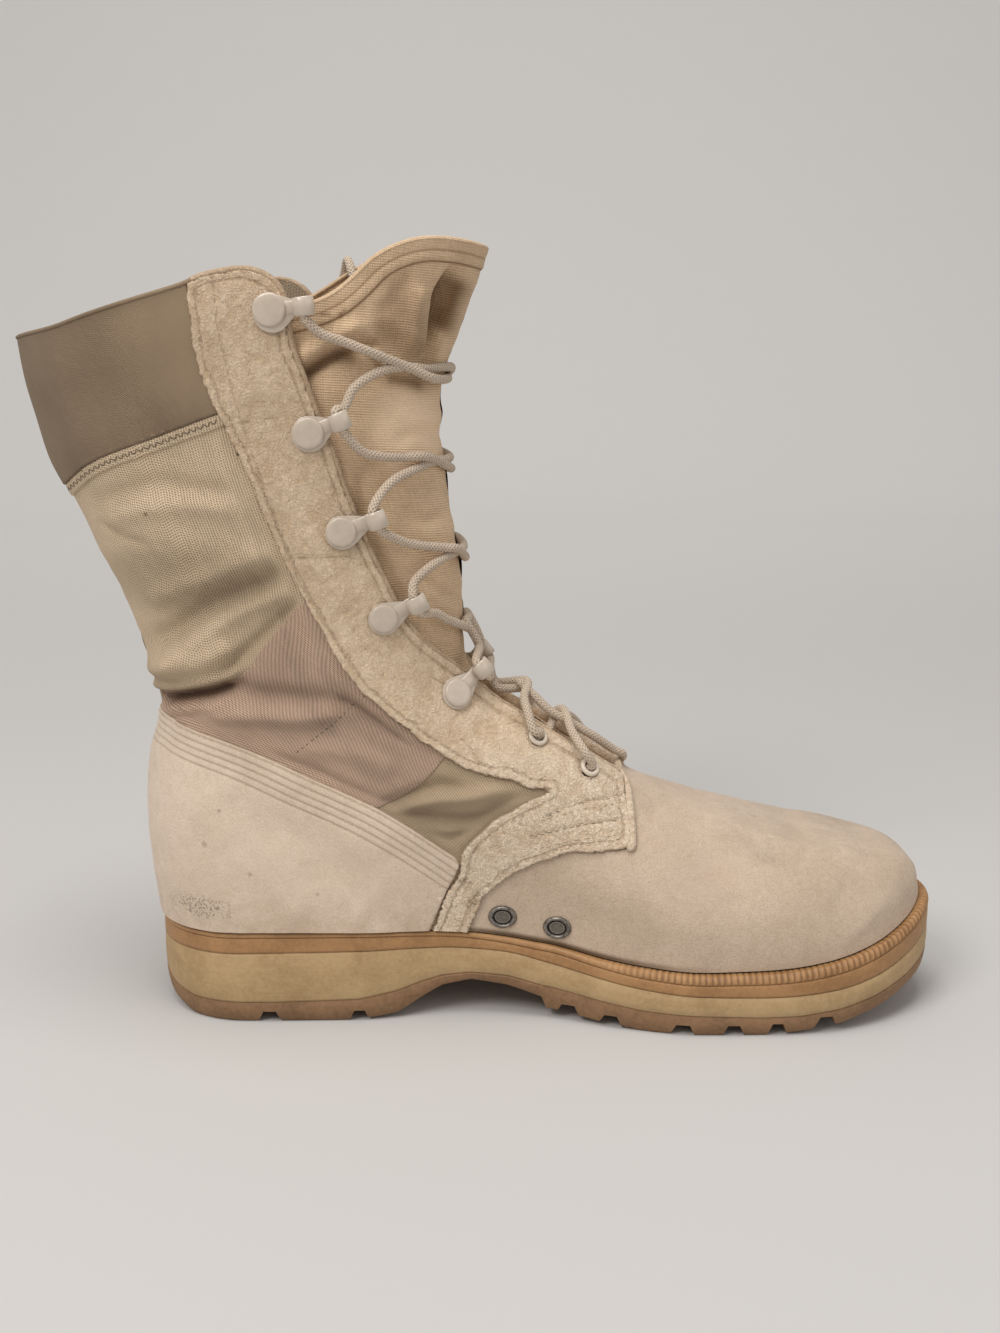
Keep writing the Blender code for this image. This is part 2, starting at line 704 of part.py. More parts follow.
def add_sole(groups, root):
    """Outsole, cushion wedge, rubber midsole and stitched welt."""
    parts, _ = groups
    add_outsole(groups, root)
    wedge = [
        outline_ring(GAP, layer(CUSHION, GAP / 2)),
        outline_ring(0, lambda x: (level(CUSHION, x) + level(RUBBER, x)) / 2),
        outline_ring(GAP, layer(RUBBER, -GAP / 2)),
    ]
    add_object("cushion_wedge", stack_mesh("cushion_wedge", wedge), CUSHION_FOAM, parts, root)
    midsole = [
        outline_ring(GAP, layer(RUBBER, GAP / 2)),
        outline_ring(GAP, layer(WELT, -GAP)),
        outline_ring(WELT_WIDTH + GAP * 2, layer(WELT, -GAP)),
        outline_ring(WELT_WIDTH + GAP * 2, layer(SEAT)),
    ]
    add_object("midsole", stack_mesh("midsole", midsole), MIDSOLE_RUBBER, parts, root)
    welt = [
        outline_ring(0, layer(WELT, GAP / 2)),
        outline_ring(0, layer(SEAT)),
        outline_ring(WELT_WIDTH, layer(SEAT)),
        outline_ring(WELT_WIDTH, layer(WELT, GAP / 2)),
    ]
    add_object("welt", stack_mesh("welt", welt, closed_tube=True), WELT_RUBBER, parts, root)


def add_insole(groups, root):
    """Insole lying inside the upper's wall on the welt and midsole."""
    ledge = np.array(FOOT_WIDTHS)
    rings = []
    for low in (SEAT_GAP, SEAT_GAP + INSOLE_THICKNESS):
        medial, lateral = outline_points(0)
        flat = np.vstack([medial, lateral[-2:0:-1]])
        reach = np.interp(flat[:, 0], ledge[:, 0] * LAST_LENGTH, ledge[:, 3] * WELT_LEDGE)
        inner = inset_ring(flat, reach + WALL + 7 * GAP)
        rings.append(np.column_stack([inner, level(SEAT, inner[:, 0]) + low]))
    add_object("insole", stack_mesh("insole", rings), INSOLE_FELT, groups[0], root)


def inset_ring(flat, amounts):
    """A plan ring moved inward along its own normals."""
    run = np.roll(flat, -1, axis=0) - np.roll(flat, 1, axis=0)
    normal = np.column_stack([-run[:, 1], run[:, 0]])
    normal /= np.linalg.norm(normal, axis=1)[:, None]
    return flat + normal * amounts[:, None]


def turned_mesh(name, profile, steps):
    """Closed round body about Z from a closed profile of (radius, height) points."""
    shape = bmesh.new()
    rings = []
    for radius, height in profile:
        if radius == 0:
            rings.append([shape.verts.new((0, 0, height))])
            continue
        rings.append([
            shape.verts.new((radius * math.cos(a), radius * math.sin(a), height))
            for a in (2 * math.pi * i / steps for i in range(steps))
        ])
    pairs = list(zip(rings, rings[1:]))
    if profile[0][0] > 0 and profile[-1][0] > 0:
        pairs.append((rings[-1], rings[0]))
    for low, high in pairs:
        for i in range(steps):
            j = (i + 1) % steps
            corners = [low[i % len(low)], low[j % len(low)], high[j % len(high)], high[i % len(high)]]
            shape.faces.new(dict.fromkeys(corners))
    bmesh.ops.recalc_face_normals(shape, faces=shape.faces)
    mesh = bpy.data.meshes.new(name)
    shape.to_mesh(mesh)
    shape.free()
    return mesh


def evaluated_mesh(part):
    """Mesh of an object with its modifiers applied."""
    graph = bpy.context.evaluated_depsgraph_get()
    bpy.context.view_layer.update()
    return bpy.data.meshes.new_from_object(part.evaluated_get(graph))


def joined_mesh(name, pieces, group):
    """One solid from several overlapping closed meshes."""
    made = [bpy.data.objects.new(name + "_piece", mesh) for mesh in pieces]
    for item in made:
        group.objects.link(item)
    for other in made[1:]:
        add_boolean(made[0], other, "UNION")
    mesh = evaluated_mesh(made[0])
    for item in made:
        bpy.data.objects.remove(item, do_unlink=True)
    mesh.name = name
    return mesh


def hook_mesh(group):
    """Speed-lace hook: a domed rivet cap, a tapered plate and a sleeve for the lace."""
    cap = turned_mesh(
        "cap",
        [(0, 0), (CAP_RADIUS, 0), (CAP_RADIUS, CAP_HEIGHT * 0.55), (CAP_RADIUS * 0.75, CAP_HEIGHT), (0, CAP_HEIGHT)],
        10,
    )
    shape = bmesh.new()
    neck = SLEEVE_LENGTH * 0.42
    tip = HOOK_REACH + SLEEVE_BORE * 0.5
    plan = [(0, CAP_RADIUS * 0.8), (CAP_RADIUS, neck * 1.2), (tip, neck)]
    plan = [(x, -y) for x, y in plan] + plan[::-1]
    low, high = HOOK_PLATE * 0.2, HOOK_PLATE * 1.2
    bottom = [shape.verts.new((x, y, low)) for x, y in plan]
    top = [shape.verts.new((x, y, high)) for x, y in plan]
    shape.faces.new(bottom)
    shape.faces.new(top)
    for i in range(len(plan)):
        j = (i + 1) % len(plan)
        shape.faces.new((bottom[i], bottom[j], top[j], top[i]))
    bmesh.ops.recalc_face_normals(shape, faces=shape.faces)
    plate = bpy.data.meshes.new("plate")
    shape.to_mesh(plate)
    shape.free()
    half = SLEEVE_LENGTH / 2
    sleeve = turned_mesh("sleeve", [(SLEEVE_BORE, -half), (SLEEVE_RADIUS, -half), (SLEEVE_RADIUS, half), (SLEEVE_BORE, half)], 8)
    sleeve.transform(Matrix.Translation(sleeve_centre()) @ Matrix.Rotation(math.radians(90), 4, "X"))
    return joined_mesh("speed_hook", [cap, plate, sleeve], group)


def sleeve_centre():
    """Centre of the sleeve in the hook's own frame."""
    return Vector((HOOK_REACH + SLEEVE_BORE, 0, HOOK_PLATE * 0.2 + SLEEVE_RADIUS))


def seat_matrix(share, setback, side, offset):
    """Placement on the eyestay: X forward over the throat, Z out of the surface."""
    (x, z), forward = throat_station(share, setback)
    spot, normal = on_side(x, z, side, offset)
    ahead, _ = on_side(x + forward[0] * 0.004, z + forward[1] * 0.004, side, offset)
    reach = ahead - spot
    reach = (reach - normal * reach.dot(normal)).normalized()
    turn = Matrix((reach, normal.cross(reach), normal)).transposed()
    return Matrix.Translation(spot) @ turn.to_4x4()


def eyelet_mesh():
    """Eyelet: a flange over the eyestay, a barrel through the wall and a lip inside."""
    depth = FITTING_GAP + OVERLAY + WALL + GAP * 2
    barrel = EYELET_HOLE - GAP
    return turned_mesh(
        "eyelet",
        [
            (EYELET_BORE, EYELET_LIP * 0.6),
            (EYELET_BORE + EYELET_LIP * 0.6, EYELET_LIP),
            (EYELET_FLANGE, EYELET_LIP * 0.5),
            (EYELET_FLANGE, 0),
            (barrel, 0),
            (barrel, -depth + GAP * 2),
            (EYELET_BORE, -depth + GAP * 2),
        ],
        8,
    )


def vent_mesh():
    """Ventilation eyelet: a flange on the vamp and a closed screen set back in its hole."""
    barrel = VENT_HOLE - GAP
    return turned_mesh(
        "vent",
        [
            (0, -VENT_BOWL * 0.25),
            (barrel * 0.75, -VENT_BOWL * 0.25),
            (barrel * 0.85, VENT_BOWL * 0.35),
            (VENT_FLANGE, VENT_BOWL * 0.15),
            (VENT_FLANGE, 0),
            (barrel, 0),
            (barrel, -VENT_BOWL * 0.7),
            (0, -VENT_BOWL * 0.7),
        ],
        12,
    )


def hole_cutter(name, places, radius, group, root):
    """Cylinders through the wall at each placement, as one cutter."""
    shape = bmesh.new()
    for place in places:
        made = bmesh.ops.create_cone(
            shape, cap_ends=True, segments=14, radius1=radius, radius2=radius, depth=0.018, matrix=place
        )
        assert made["verts"]
    mesh = bpy.data.meshes.new(name)
    shape.to_mesh(mesh)
    shape.free()
    return add_object(name, mesh, None, group, root)


def strand_mesh(points):
    """Closed cord mesh along a centreline."""
    curve = bpy.data.curves.new("strand", "CURVE")
    curve.dimensions = "3D"
    curve.bevel_depth = LACE_RADIUS
    curve.bevel_resolution = 1
    curve.use_fill_caps = True
    spline = curve.splines.new("POLY")
    spline.points.add(len(points) - 1)
    for knot, point in zip(spline.points, points):
        knot.co = (*point, 1)
    item = bpy.data.objects.new("strand", curve)
    bpy.context.scene.collection.objects.link(item)
    mesh = evaluated_mesh(item)
    bpy.data.objects.remove(item, do_unlink=True)
    shape = bmesh.new()
    shape.from_mesh(mesh)
    bmesh.ops.remove_doubles(shape, verts=shape.verts, dist=1e-5)
    bmesh.ops.recalc_face_normals(shape, faces=shape.faces)
    shape.to_mesh(mesh)
    shape.free()
    return mesh


def nose_point(z, lift):
    """Point on the front line at a height, lifted clear of what is under it."""
    return np.array([np.interp(z, FRONT[:, 1], FRONT[:, 0]) + lift, 0.0, z])


def add_fittings(groups, root, upper, stays):
    """Hooks, eyelets, vents and the lace crossings between them."""
    parts, cutters = groups
    offset = OVERLAY + GAP + FITTING_GAP
    hook = hook_mesh(cutters)
    eyelet = eyelet_mesh()
    vent = vent_mesh()
    holes, ends = [], {}
    for side, word in ((MEDIAL, "medial"), (LATERAL, "lateral")):
        for number, share in enumerate(HOOK_STATIONS, 1):
            part = add_object(f"speed_hook_{word}_{number}", hook, HOOK_ENAMEL, parts, root)
            place = seat_matrix(share, HOOK_SETBACK, side, offset)
            part.matrix_local = place
            reach = SLEEVE_LENGTH / 2 + LACE_RADIUS + GAP * 2
            tips = [place @ (sleeve_centre() + Vector((0, s * reach, 0))) for s in (-1, 1)]
            tips.sort(key=lambda p: p.z)
            ends[side, number] = [(tip, []) for tip in tips]
        for number, share in enumerate(EYELET_STATIONS, 1):
            part = add_object(f"eyelet_{word}_{number}", eyelet, HOOK_ENAMEL, parts, root)
            place = seat_matrix(share, EYELET_SETBACK, side, offset)
            part.matrix_local = place
            holes.append(place)
            top = place @ Vector((0, 0, EYELET_LIP + LACE_RADIUS + GAP * 8))
            out = []
            for setback in (EYELET_SETBACK * 0.5, -LACE_RADIUS):
                (x, z), _ = throat_station(share, setback)
                out.append(on_side(x, z, side, FITTING_LIFT)[0])
            (x, z), _ = throat_station(share - 0.05, -LACE_RADIUS * 2.5)
            under, _ = on_side(x, z, side, LACE_LIFT + GAP * 2)
            ends[side, len(HOOK_STATIONS) + number] = [(under, []), (top, out)]
    eyelet_cut = hole_cutter("cut_eyelets", holes, EYELET_HOLE, cutters, root)
    for part in (upper, *stays):
        add_boolean(part, eyelet_cut, "DIFFERENCE")
    places = []
    for number, (along, up) in enumerate(VENTS, 1):
        spot, normal = on_side(along * LAST_LENGTH, float(rise(up)), MEDIAL, FITTING_GAP)
        place = Matrix.Translation(spot) @ normal.to_track_quat("Z", "Y").to_matrix().to_4x4()
        part = add_object(f"vent_medial_{number}", vent, VENT_METAL, parts, root)
        part.matrix_local = place
        places.append(place)
    vent_cut = hole_cutter("cut_vents", places, VENT_HOLE, cutters, root)
    add_boolean(upper, vent_cut, "DIFFERENCE")
    add_laces(ends, groups, root)


def add_laces(ends, groups, root):
    """Criss-cross lace: at each crossing two strands joined where they meet over the tongue."""
    parts, cutters = groups
    last = len(HOOK_STATIONS) + len(EYELET_STATIONS)
    for number in range(1, last):
        low = [ends[side, number + 1][1] for side in (MEDIAL, LATERAL)]
        high = [ends[side, number][0] for side in (LATERAL, MEDIAL)]
        lift = LACE_LIFT if number < len(HOOK_STATIONS) else FITTING_LIFT / 2
        centre = nose_point((low[0][0].z + high[0][0].z) / 2, lift)
        strands = [
            strand_mesh(strand_points(low[0], MEDIAL, high[0], centre, lift)),
            strand_mesh(strand_points(low[1], LATERAL, high[1], centre, lift)),
        ]
        mesh = joined_mesh(f"lace_crossing_{number}", strands, cutters)
        add_object(f"lace_crossing_{number}", mesh, LACE_CORD, parts, root)


def strand_points(low, side, high, centre, lift):
    """Route of a strand from the lower fitting over the nose to the upper one on the other side."""
    def over(end, which):
        point, out = end
        start = out[-1] if out else point
        spots = list(out)
        for share in (0.45, 0.85) if out else (0.35, 0.7, 0.92):
            x = start.x + (centre[0] - start.x) * share
            z = start.z + (centre[2] - start.z) * share
            x = min(x, np.interp(z, FRONT[:, 1], FRONT[:, 0]) - GAP * 5)
            spots.append(on_side(x, z, which, FITTING_LIFT + (lift - FITTING_LIFT) * share)[0])
        return [point, *spots]

    path = np.array([*over(low, side), centre, *over(high, -side)[::-1]], float)
    return smooth_path(path, len(path) + 4)


def main():
    clear_scene()
    groups = (new_collection("combat_boot"), new_collection("cutters"))
    root = bpy.data.objects.new("boot_frame", None)
    groups[0].objects.link(root)
    root.location = (-HEEL_REST, 0, 0)
    add_sole(groups, root)
    add_insole(groups, root)
    upper = add_shell("upper", CANVAS, 0.0, WALL, opening_outline(), None, (0, 2), groups, root)
    outside = GAP + OVERLAY
    add_shell("heel_counter", LEATHER, outside, OVERLAY, counter_outline(), None, (0, 1.3), groups, root)
    add_shell("collar_band", BAND_CLOTH, outside, OVERLAY, band_outline(), None, (1.3, 2), groups, root)
    stays = [
        add_shell(f"eyestay_{word}", LEATHER, outside, OVERLAY, eyestay_outline(), side, (0, 2), groups, root)
        for side, word in ((MEDIAL, "medial"), (LATERAL, "lateral"))
    ]
    inside = -(WALL + TONGUE_GAP)
    add_shell("tongue", TONGUE_CLOTH, inside, TONGUE_WALL, tongue_outline(), None, (0.4, 2), groups, root)
    add_fittings(groups, root, upper, stays)


main()
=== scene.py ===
"""Looks of the desert combat boot: suede, canvas, rubber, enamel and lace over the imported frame.

Metres. Side-view places are (from the back of the heel, up from the floor); they sit in the frame
HEEL_REST further back. Each panel is cut from one fine net of the upper in the side view.
"""
import math

import bmesh
import bpy
import numpy as np
from mathutils import Matrix, Vector


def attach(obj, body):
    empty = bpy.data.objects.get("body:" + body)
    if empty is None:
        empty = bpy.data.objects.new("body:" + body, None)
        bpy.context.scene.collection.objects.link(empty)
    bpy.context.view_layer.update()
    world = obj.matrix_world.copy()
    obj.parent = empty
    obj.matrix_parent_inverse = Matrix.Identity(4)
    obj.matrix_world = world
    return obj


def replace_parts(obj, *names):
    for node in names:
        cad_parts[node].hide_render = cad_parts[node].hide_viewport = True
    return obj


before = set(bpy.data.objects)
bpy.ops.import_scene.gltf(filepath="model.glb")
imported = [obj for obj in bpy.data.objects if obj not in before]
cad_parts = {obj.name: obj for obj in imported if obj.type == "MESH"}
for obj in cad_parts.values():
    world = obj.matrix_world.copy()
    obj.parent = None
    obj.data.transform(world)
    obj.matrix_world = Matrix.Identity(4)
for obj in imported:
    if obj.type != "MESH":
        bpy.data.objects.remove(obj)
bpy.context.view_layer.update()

HEEL_REST = 0.064
MEDIAL, LATERAL = -1, 1
LAST_LENGTH, BALL_WIDTH, LEG_WIDTH = 0.300, 0.107, 0.080
INSTEP_HEIGHT, SHAFT_RISE, SOLE_STACK = 0.100, 0.150, 0.036
WALL, EYESTAY_WIDTH, WELT_LEDGE, WELT_WIDTH = 0.0022, 0.030, 0.0045, 0.010
SEAT_GAP = 0.0005
MM = 0.001

# Shares of the last, as in the part's source: along, up, cap depth.
FRONT_LINE = (
    (1.000, 0.425, 0.43), (0.992, 0.525, 0.43), (0.967, 0.615, 0.42), (0.922, 0.675, 0.41),
    (0.842, 0.725, 0.41), (0.770, 0.765, 0.42), (0.709, 0.810, 0.42), (0.630, 0.875, 0.42),
    (0.587, 0.956, 0.43), (0.550, 1.022, 0.43), (0.513, 1.065, 0.44), (0.480, 1.103, 0.44),
    (0.447, 1.140, 0.44), (0.420, 1.200, 0.45), (0.409, 1.260, 0.46), (0.408, 1.347, 0.47),
    (0.407, 1.453, 0.48), (0.398, 1.560, 0.49), (0.390, 1.673, 0.51), (0.382, 1.800, 0.53),
    (0.382, 1.893, 0.54), (0.398, 2.007, 0.55), (0.420, 2.120, 0.56), (0.440, 2.250, 0.57),
    (0.447, 2.313, 0.57),
)
FRONT_BEND = 12
BACK_LINE = (
    (0.003, 0.360, 0.34), (-0.003, 0.500, 0.34), (-0.007, 0.680, 0.34), (-0.008, 0.850, 0.34),
    (0.000, 1.000, 0.34), (0.010, 1.073, 0.34), (0.012, 1.120, 0.34), (0.005, 1.193, 0.35),
    (-0.007, 1.267, 0.36), (-0.020, 1.353, 0.37), (-0.033, 1.420, 0.38), (-0.048, 1.487, 0.38),
    (-0.067, 1.573, 0.39), (-0.093, 1.680, 0.40), (-0.110, 1.767, 0.40), (-0.127, 1.900, 0.41),
    (-0.137, 2.033, 0.42), (-0.142, 2.167, 0.42), (-0.143, 2.313, 0.42),
)
BACK_BEND = 6
FOOT_WIDTHS = (
    (0.00, 0.340, 0.350, 0.15), (0.13, 0.343, 0.360, 0.15), (0.27, 0.335, 0.375, 0.15),
    (0.40, 0.285, 0.395, 0.18), (0.50, 0.300, 0.430, 0.45), (0.60, 0.370, 0.465, 0.90),
    (0.70, 0.420, 0.485, 1.00), (0.80, 0.415, 0.465, 1.00), (0.90, 0.375, 0.420, 1.00),
    (1.00, 0.330, 0.375, 0.95),
)
LEG_WIDTHS = (
    (0.36, 0.430), (0.85, 0.420), (1.07, 0.400), (1.20, 0.410), (1.35, 0.425), (1.60, 0.460),
    (2.00, 0.500), (2.32, 0.520),
)
ANKLE_BLEND = (0.42, 1.00)
# Heights of the sole's layers, as shares of its stack: along, tread, cushion, rubber, welt, seat.
SOLE_LEVELS = (
    (0.000, 0.190, 0.370, 0.730, 0.915, 0.985), (0.027, 0.070, 0.270, 0.750, 0.925, 0.990),
    (0.053, 0.000, 0.225, 0.760, 0.935, 1.000), (0.160, 0.000, 0.225, 0.780, 0.950, 1.010),
    (0.267, 0.000, 0.250, 0.790, 0.950, 1.000), (0.317, 0.060, 0.330, 0.795, 0.940, 0.990),
    (0.347, 0.220, 0.415, 0.790, 0.925, 0.980), (0.373, 0.340, 0.467, 0.785, 0.910, 0.967),
    (0.410, 0.400, 0.495, 0.770, 0.885, 0.942), (0.457, 0.345, 0.470, 0.740, 0.835, 0.897),
    (0.500, 0.230, 0.380, 0.660, 0.775, 0.840), (0.505, 0.105, 0.375, 0.650, 0.770, 0.835),
    (0.573, 0.040, 0.295, 0.545, 0.665, 0.733), (0.623, 0.000, 0.240, 0.480, 0.600, 0.680),
    (0.697, 0.000, 0.225, 0.440, 0.565, 0.650), (0.773, 0.000, 0.207, 0.430, 0.572, 0.667),
    (0.820, 0.030, 0.217, 0.445, 0.600, 0.700), (0.873, 0.085, 0.267, 0.490, 0.667, 0.772),
    (0.920, 0.180, 0.350, 0.572, 0.767, 0.872), (0.967, 0.305, 0.470, 0.710, 0.917, 1.022),
    (1.000, 0.390, 0.570, 0.820, 1.040, 1.147), (1.015, 0.420, 0.600, 0.850, 1.070, 1.180),
)
TREAD, CUSHION, RUBBER, WELT, SEAT = 1, 2, 3, 4, 5
THROAT_EDGE = (
    (0.602, 0.905, 0.60), (0.550, 1.000, 0.60), (0.513, 1.045, 0.64), (0.483, 1.084, 0.70),
    (0.447, 1.123, 0.80), (0.417, 1.177, 0.88), (0.387, 1.237, 0.92), (0.350, 1.311, 0.93),
    (0.327, 1.380, 0.93), (0.307, 1.467, 0.94), (0.288, 1.551, 0.96), (0.273, 1.633, 0.98),
    (0.260, 1.707, 1.00), (0.249, 1.784, 1.02), (0.233, 1.867, 1.05), (0.220, 1.947, 1.08),
    (0.208, 2.020, 1.10), (0.202, 2.120, 1.10),
)
COLLAR_EDGE = (
    (-0.180, 2.020), (-0.137, 2.031), (-0.072, 2.052), (-0.022, 2.083), (0.030, 2.115),
    (0.084, 2.146), (0.113, 2.169), (0.150, 2.182), (0.173, 2.177), (0.193, 2.153), (0.202, 2.120),
)
BAND_SEAM = (
    (-0.180, 1.650), (-0.105, 1.665), (-0.030, 1.750), (0.045, 1.805), (0.123, 1.862),
    (0.170, 1.890),
)
COUNTER_TOP = (
    (-0.060, 1.125), (0.032, 1.110), (0.053, 1.098), (0.110, 1.065), (0.156, 1.029), (0.212, 0.964),
    (0.252, 0.910), (0.296, 0.845), (0.339, 0.763), (0.383, 0.668), (0.397, 0.635),
)
STRAP_BACK = (
    (0.508, 0.888), (0.460, 0.830), (0.428, 0.765), (0.403, 0.690), (0.396, 0.600), (0.378, 0.490),
    (0.352, 0.300),
)
STRAP_FRONT = (
    (0.602, 0.668), (0.543, 0.665), (0.500, 0.633), (0.464, 0.578), (0.433, 0.507), (0.418, 0.436),
    (0.400, 0.300),
)
TONGUE_TOP = (
    (0.120, 2.060), (0.202, 2.090), (0.250, 2.118), (0.280, 2.160), (0.305, 2.206), (0.335, 2.238),
    (0.365, 2.252), (0.403, 2.250), (0.450, 2.236), (0.520, 2.225),
)
TONGUE_FAR_TOP = (
    (0.120, 2.070), (0.165, 2.105), (0.202, 2.138), (0.250, 2.193), (0.280, 2.222), (0.305, 2.240),
    (0.335, 2.252),
    (0.365, 2.256), (0.403, 2.250), (0.450, 2.236), (0.520, 2.225),
)
HOOK_STATIONS = (0.985, 0.800, 0.640, 0.485, 0.315)
EYELET_STATIONS = (0.162, 0.058)
HOOK_SETBACK, EYELET_SETBACK = 0.0100, 0.0040
VENTS = ((0.450, 0.405), (0.519, 0.370))

COUNTER_ROWS = (1.5, 4.3, 7.0, 9.7, 12.4)
STAY_ROW = 3.1
HEM_STITCH, HEM_WIDTH = 3.7 * MM, 7.6 * MM
PATCH_THICK, COUNTER_THICK, BAND_THICK, STAY_THICK = 0.55 * MM, 1.35 * MM, 1.25 * MM, 1.9 * MM
PATCH_STITCH = ((86.5, 129), (72, 116), (57, 104))

# Creases in millimetres: lift out of the cloth, half breadth, then the line it runs along.
CREASES = (
    (-1.3, 4.5, (-12, 196), (11, 204), (25, 203), (41, 201)),
    (1.0, 4.5, (-11, 190), (10, 196), (28, 197), (42, 194)),
    (-0.7, 2.2, (-13, 190), (-1, 184), (9, 183)),
    (1.4, 4.5, (54, 180), (41, 176), (27, 170), (6, 162)),
    (-1.9, 4.2, (58, 173), (46, 168), (32, 163), (20, 154), (5, 145)),
    (1.9, 4.2, (61, 167), (46, 161), (31, 152), (9, 135)),
    (-1.3, 2.6, (62, 162), (53, 154), (42, 144), (32, 136)),
    (2.8, 5.5, (-1, 133), (14, 137), (26, 140), (38, 147)),
    (1.6, 2.2, (-2, 124.5), (12, 128), (22, 130.5), (32, 133), (40, 138)),
    (-4.2, 2.8, (1, 120), (8, 122.5), (20, 126), (30, 128.5), (38, 132)),
    (1.6, 2.4, (4, 116), (14, 120), (24, 123), (36, 125)),
    (-1.5, 4.6, (37, 131), (48, 128), (61, 126.5), (75, 125)),
    (2.0, 4.2, (23, 120), (42, 120), (61, 119), (75, 121)),
    (-1.8, 2.8, (74, 127), (84, 121), (95, 113), (101, 109)),
    (1.3, 4.8, (60, 108), (79, 106), (97, 99)),
    (-1.3, 3.2, (49, 104), (64, 99), (78, 92), (89, 87)),
    (-1.2, 3.0, (89, 85), (101, 90), (112, 93), (123, 91)),
    (1.5, 2.8, (95, 82), (108, 87), (123, 88), (138, 91)),
    (-1.3, 3.2, (97, 84), (112, 80), (127, 80), (141, 86), (152, 87)),
    (-1.1, 2.4, (95, 79), (104, 74), (115, 72), (125, 75)),
)
# Soft swells that stiff panels share with what lies under them.
SWELLS = (
    (0.9, 9.0, (75, 150), (88, 128), (104, 116)),
    (-0.8, 7.0, (50, 236), (54, 222), (62, 205)),
    (0.7, 8.0, (66, 190), (72, 174), (80, 160)),
    (-0.6, 10.0, (205, 78), (215, 60), (222, 45)),
    (0.6, 14.0, (250, 62), (262, 52)),
    (-0.5, 9.0, (30, 90), (60, 72), (90, 55)),
)


def shares(table):
    return np.array([row[:2] for row in table], float)


def rise(up):
    up = np.asarray(up, float)
    return np.minimum(up, 1) * INSTEP_HEIGHT + np.maximum(up - 1, 0) * SHAFT_RISE


def side_points(table):
    """A table's first two columns as side-view points."""
    spots = shares(table)
    return np.column_stack([spots[:, 0] * LAST_LENGTH, rise(spots[:, 1])])


def smooth_path(points, count, columns=None):
    """A smooth curve through points, sampled evenly by length."""
    points = np.asarray(points, float)
    ends = np.vstack([2 * points[0] - points[1], points, 2 * points[-1] - points[-2]])
    step = np.linspace(0, 1, 16, endpoint=False)[:, None]
    dense = []
    for i in range(len(points) - 1):
        a, b, c, d = ends[i : i + 4]
        bend = 2 * a - 5 * b + 4 * c - d + step * (3 * (b - c) + d - a)
        dense.append(b + 0.5 * step * (c - a + step * bend))
    dense = np.vstack(dense + [points[-1:]])
    run = np.concatenate([[0], np.cumsum(np.linalg.norm(np.diff(dense, axis=0), axis=1))])
    run /= run[-1]
    at = np.linspace(0, 1, count)
    out = np.column_stack([np.interp(at, run, dense[:, k]) for k in range(dense.shape[1])])
    if columns is None:
        return out
    return out, eased(at, run[::16], columns)


def eased(at, xs, ys):
    """A smooth curve through a table of values that never overshoots them."""
    xs = np.asarray(xs, float)
    ys = np.asarray(ys, float)
    gap = np.diff(xs)
    slope = np.diff(ys) / gap
    lean = np.zeros(len(xs))
    lean[0] = slope[0]
    lean[-1] = slope[-1]
    same = slope[:-1] * slope[1:] > 0
    first = np.where(same, slope[:-1], 1)
    second = np.where(same, slope[1:], 1)
    total = 3 * (gap[:-1] + gap[1:])
    middle = total / ((2 * gap[1:] + gap[:-1]) / first + (gap[1:] + 2 * gap[:-1]) / second)
    lean[1:-1] = np.where(same, middle, 0)
    at = np.clip(np.asarray(at, float), xs[0], xs[-1])
    i = np.clip(np.searchsorted(xs, at, side="right") - 1, 0, len(xs) - 2)
    t = (at - xs[i]) / gap[i]
    low = ys[i] * (1 + 2 * t) * (1 - t) ** 2 + lean[i] * gap[i] * t * (1 - t) ** 2
    high = ys[i + 1] * t * t * (3 - 2 * t) - lean[i + 1] * gap[i] * t * t * (1 - t)
    return low + high


def level(layer, x):
    """Height of one layer of the sole."""
    table = np.array(SOLE_LEVELS)
    if layer <= CUSHION:
        return np.interp(x, table[:, 0] * LAST_LENGTH, table[:, layer] * SOLE_STACK)
    return eased(x, table[:, 0] * LAST_LENGTH, table[:, layer] * SOLE_STACK)


def joined_line(table, bend, count):
    points = side_points(table)
    caps = np.array([row[2] for row in table]) * BALL_WIDTH
    low, low_cap = smooth_path(points[: bend + 1], count, caps[: bend + 1])
    high, high_cap = smooth_path(points[bend:], count, caps[bend:])
    return np.vstack([low, high[1:]]), np.concatenate([low_cap, high_cap[1:]])


FRONT, FRONT_CAP = joined_line(FRONT_LINE, FRONT_BEND, 160)
BACK, BACK_CAP = joined_line(BACK_LINE, BACK_BEND, 160)
FRONT[0, 1] = level(SEAT, FRONT[0, 0]) + SEAT_GAP
BACK[0, 1] = level(SEAT, BACK[0, 0]) + SEAT_GAP


def path_distance(x, z, path):
    """Distance to a side-view path, the share along it and the side of it that a point lies on."""
    best = np.full(x.shape, 1e9)
    along = np.zeros(x.shape)
    hand = np.zeros(x.shape)
    run = np.concatenate([[0], np.cumsum(np.linalg.norm(np.diff(path, axis=0), axis=1))])
    for i in range(len(path) - 1):
        ax, az = path[i]
        dx, dz = path[i + 1] - path[i]
        length = max(dx * dx + dz * dz, 1e-16)
        t = np.clip(((x - ax) * dx + (z - az) * dz) / length, 0, 1)
        away = np.hypot(x - ax - dx * t, z - az - dz * t)
        nearer = away < best
        best = np.where(nearer, away, best)
        along = np.where(nearer, run[i] + t * math.sqrt(length), along)
        hand = np.where(nearer, dx * (z - az) - dz * (x - ax), hand)
    return best, along / run[-1], np.sign(hand)


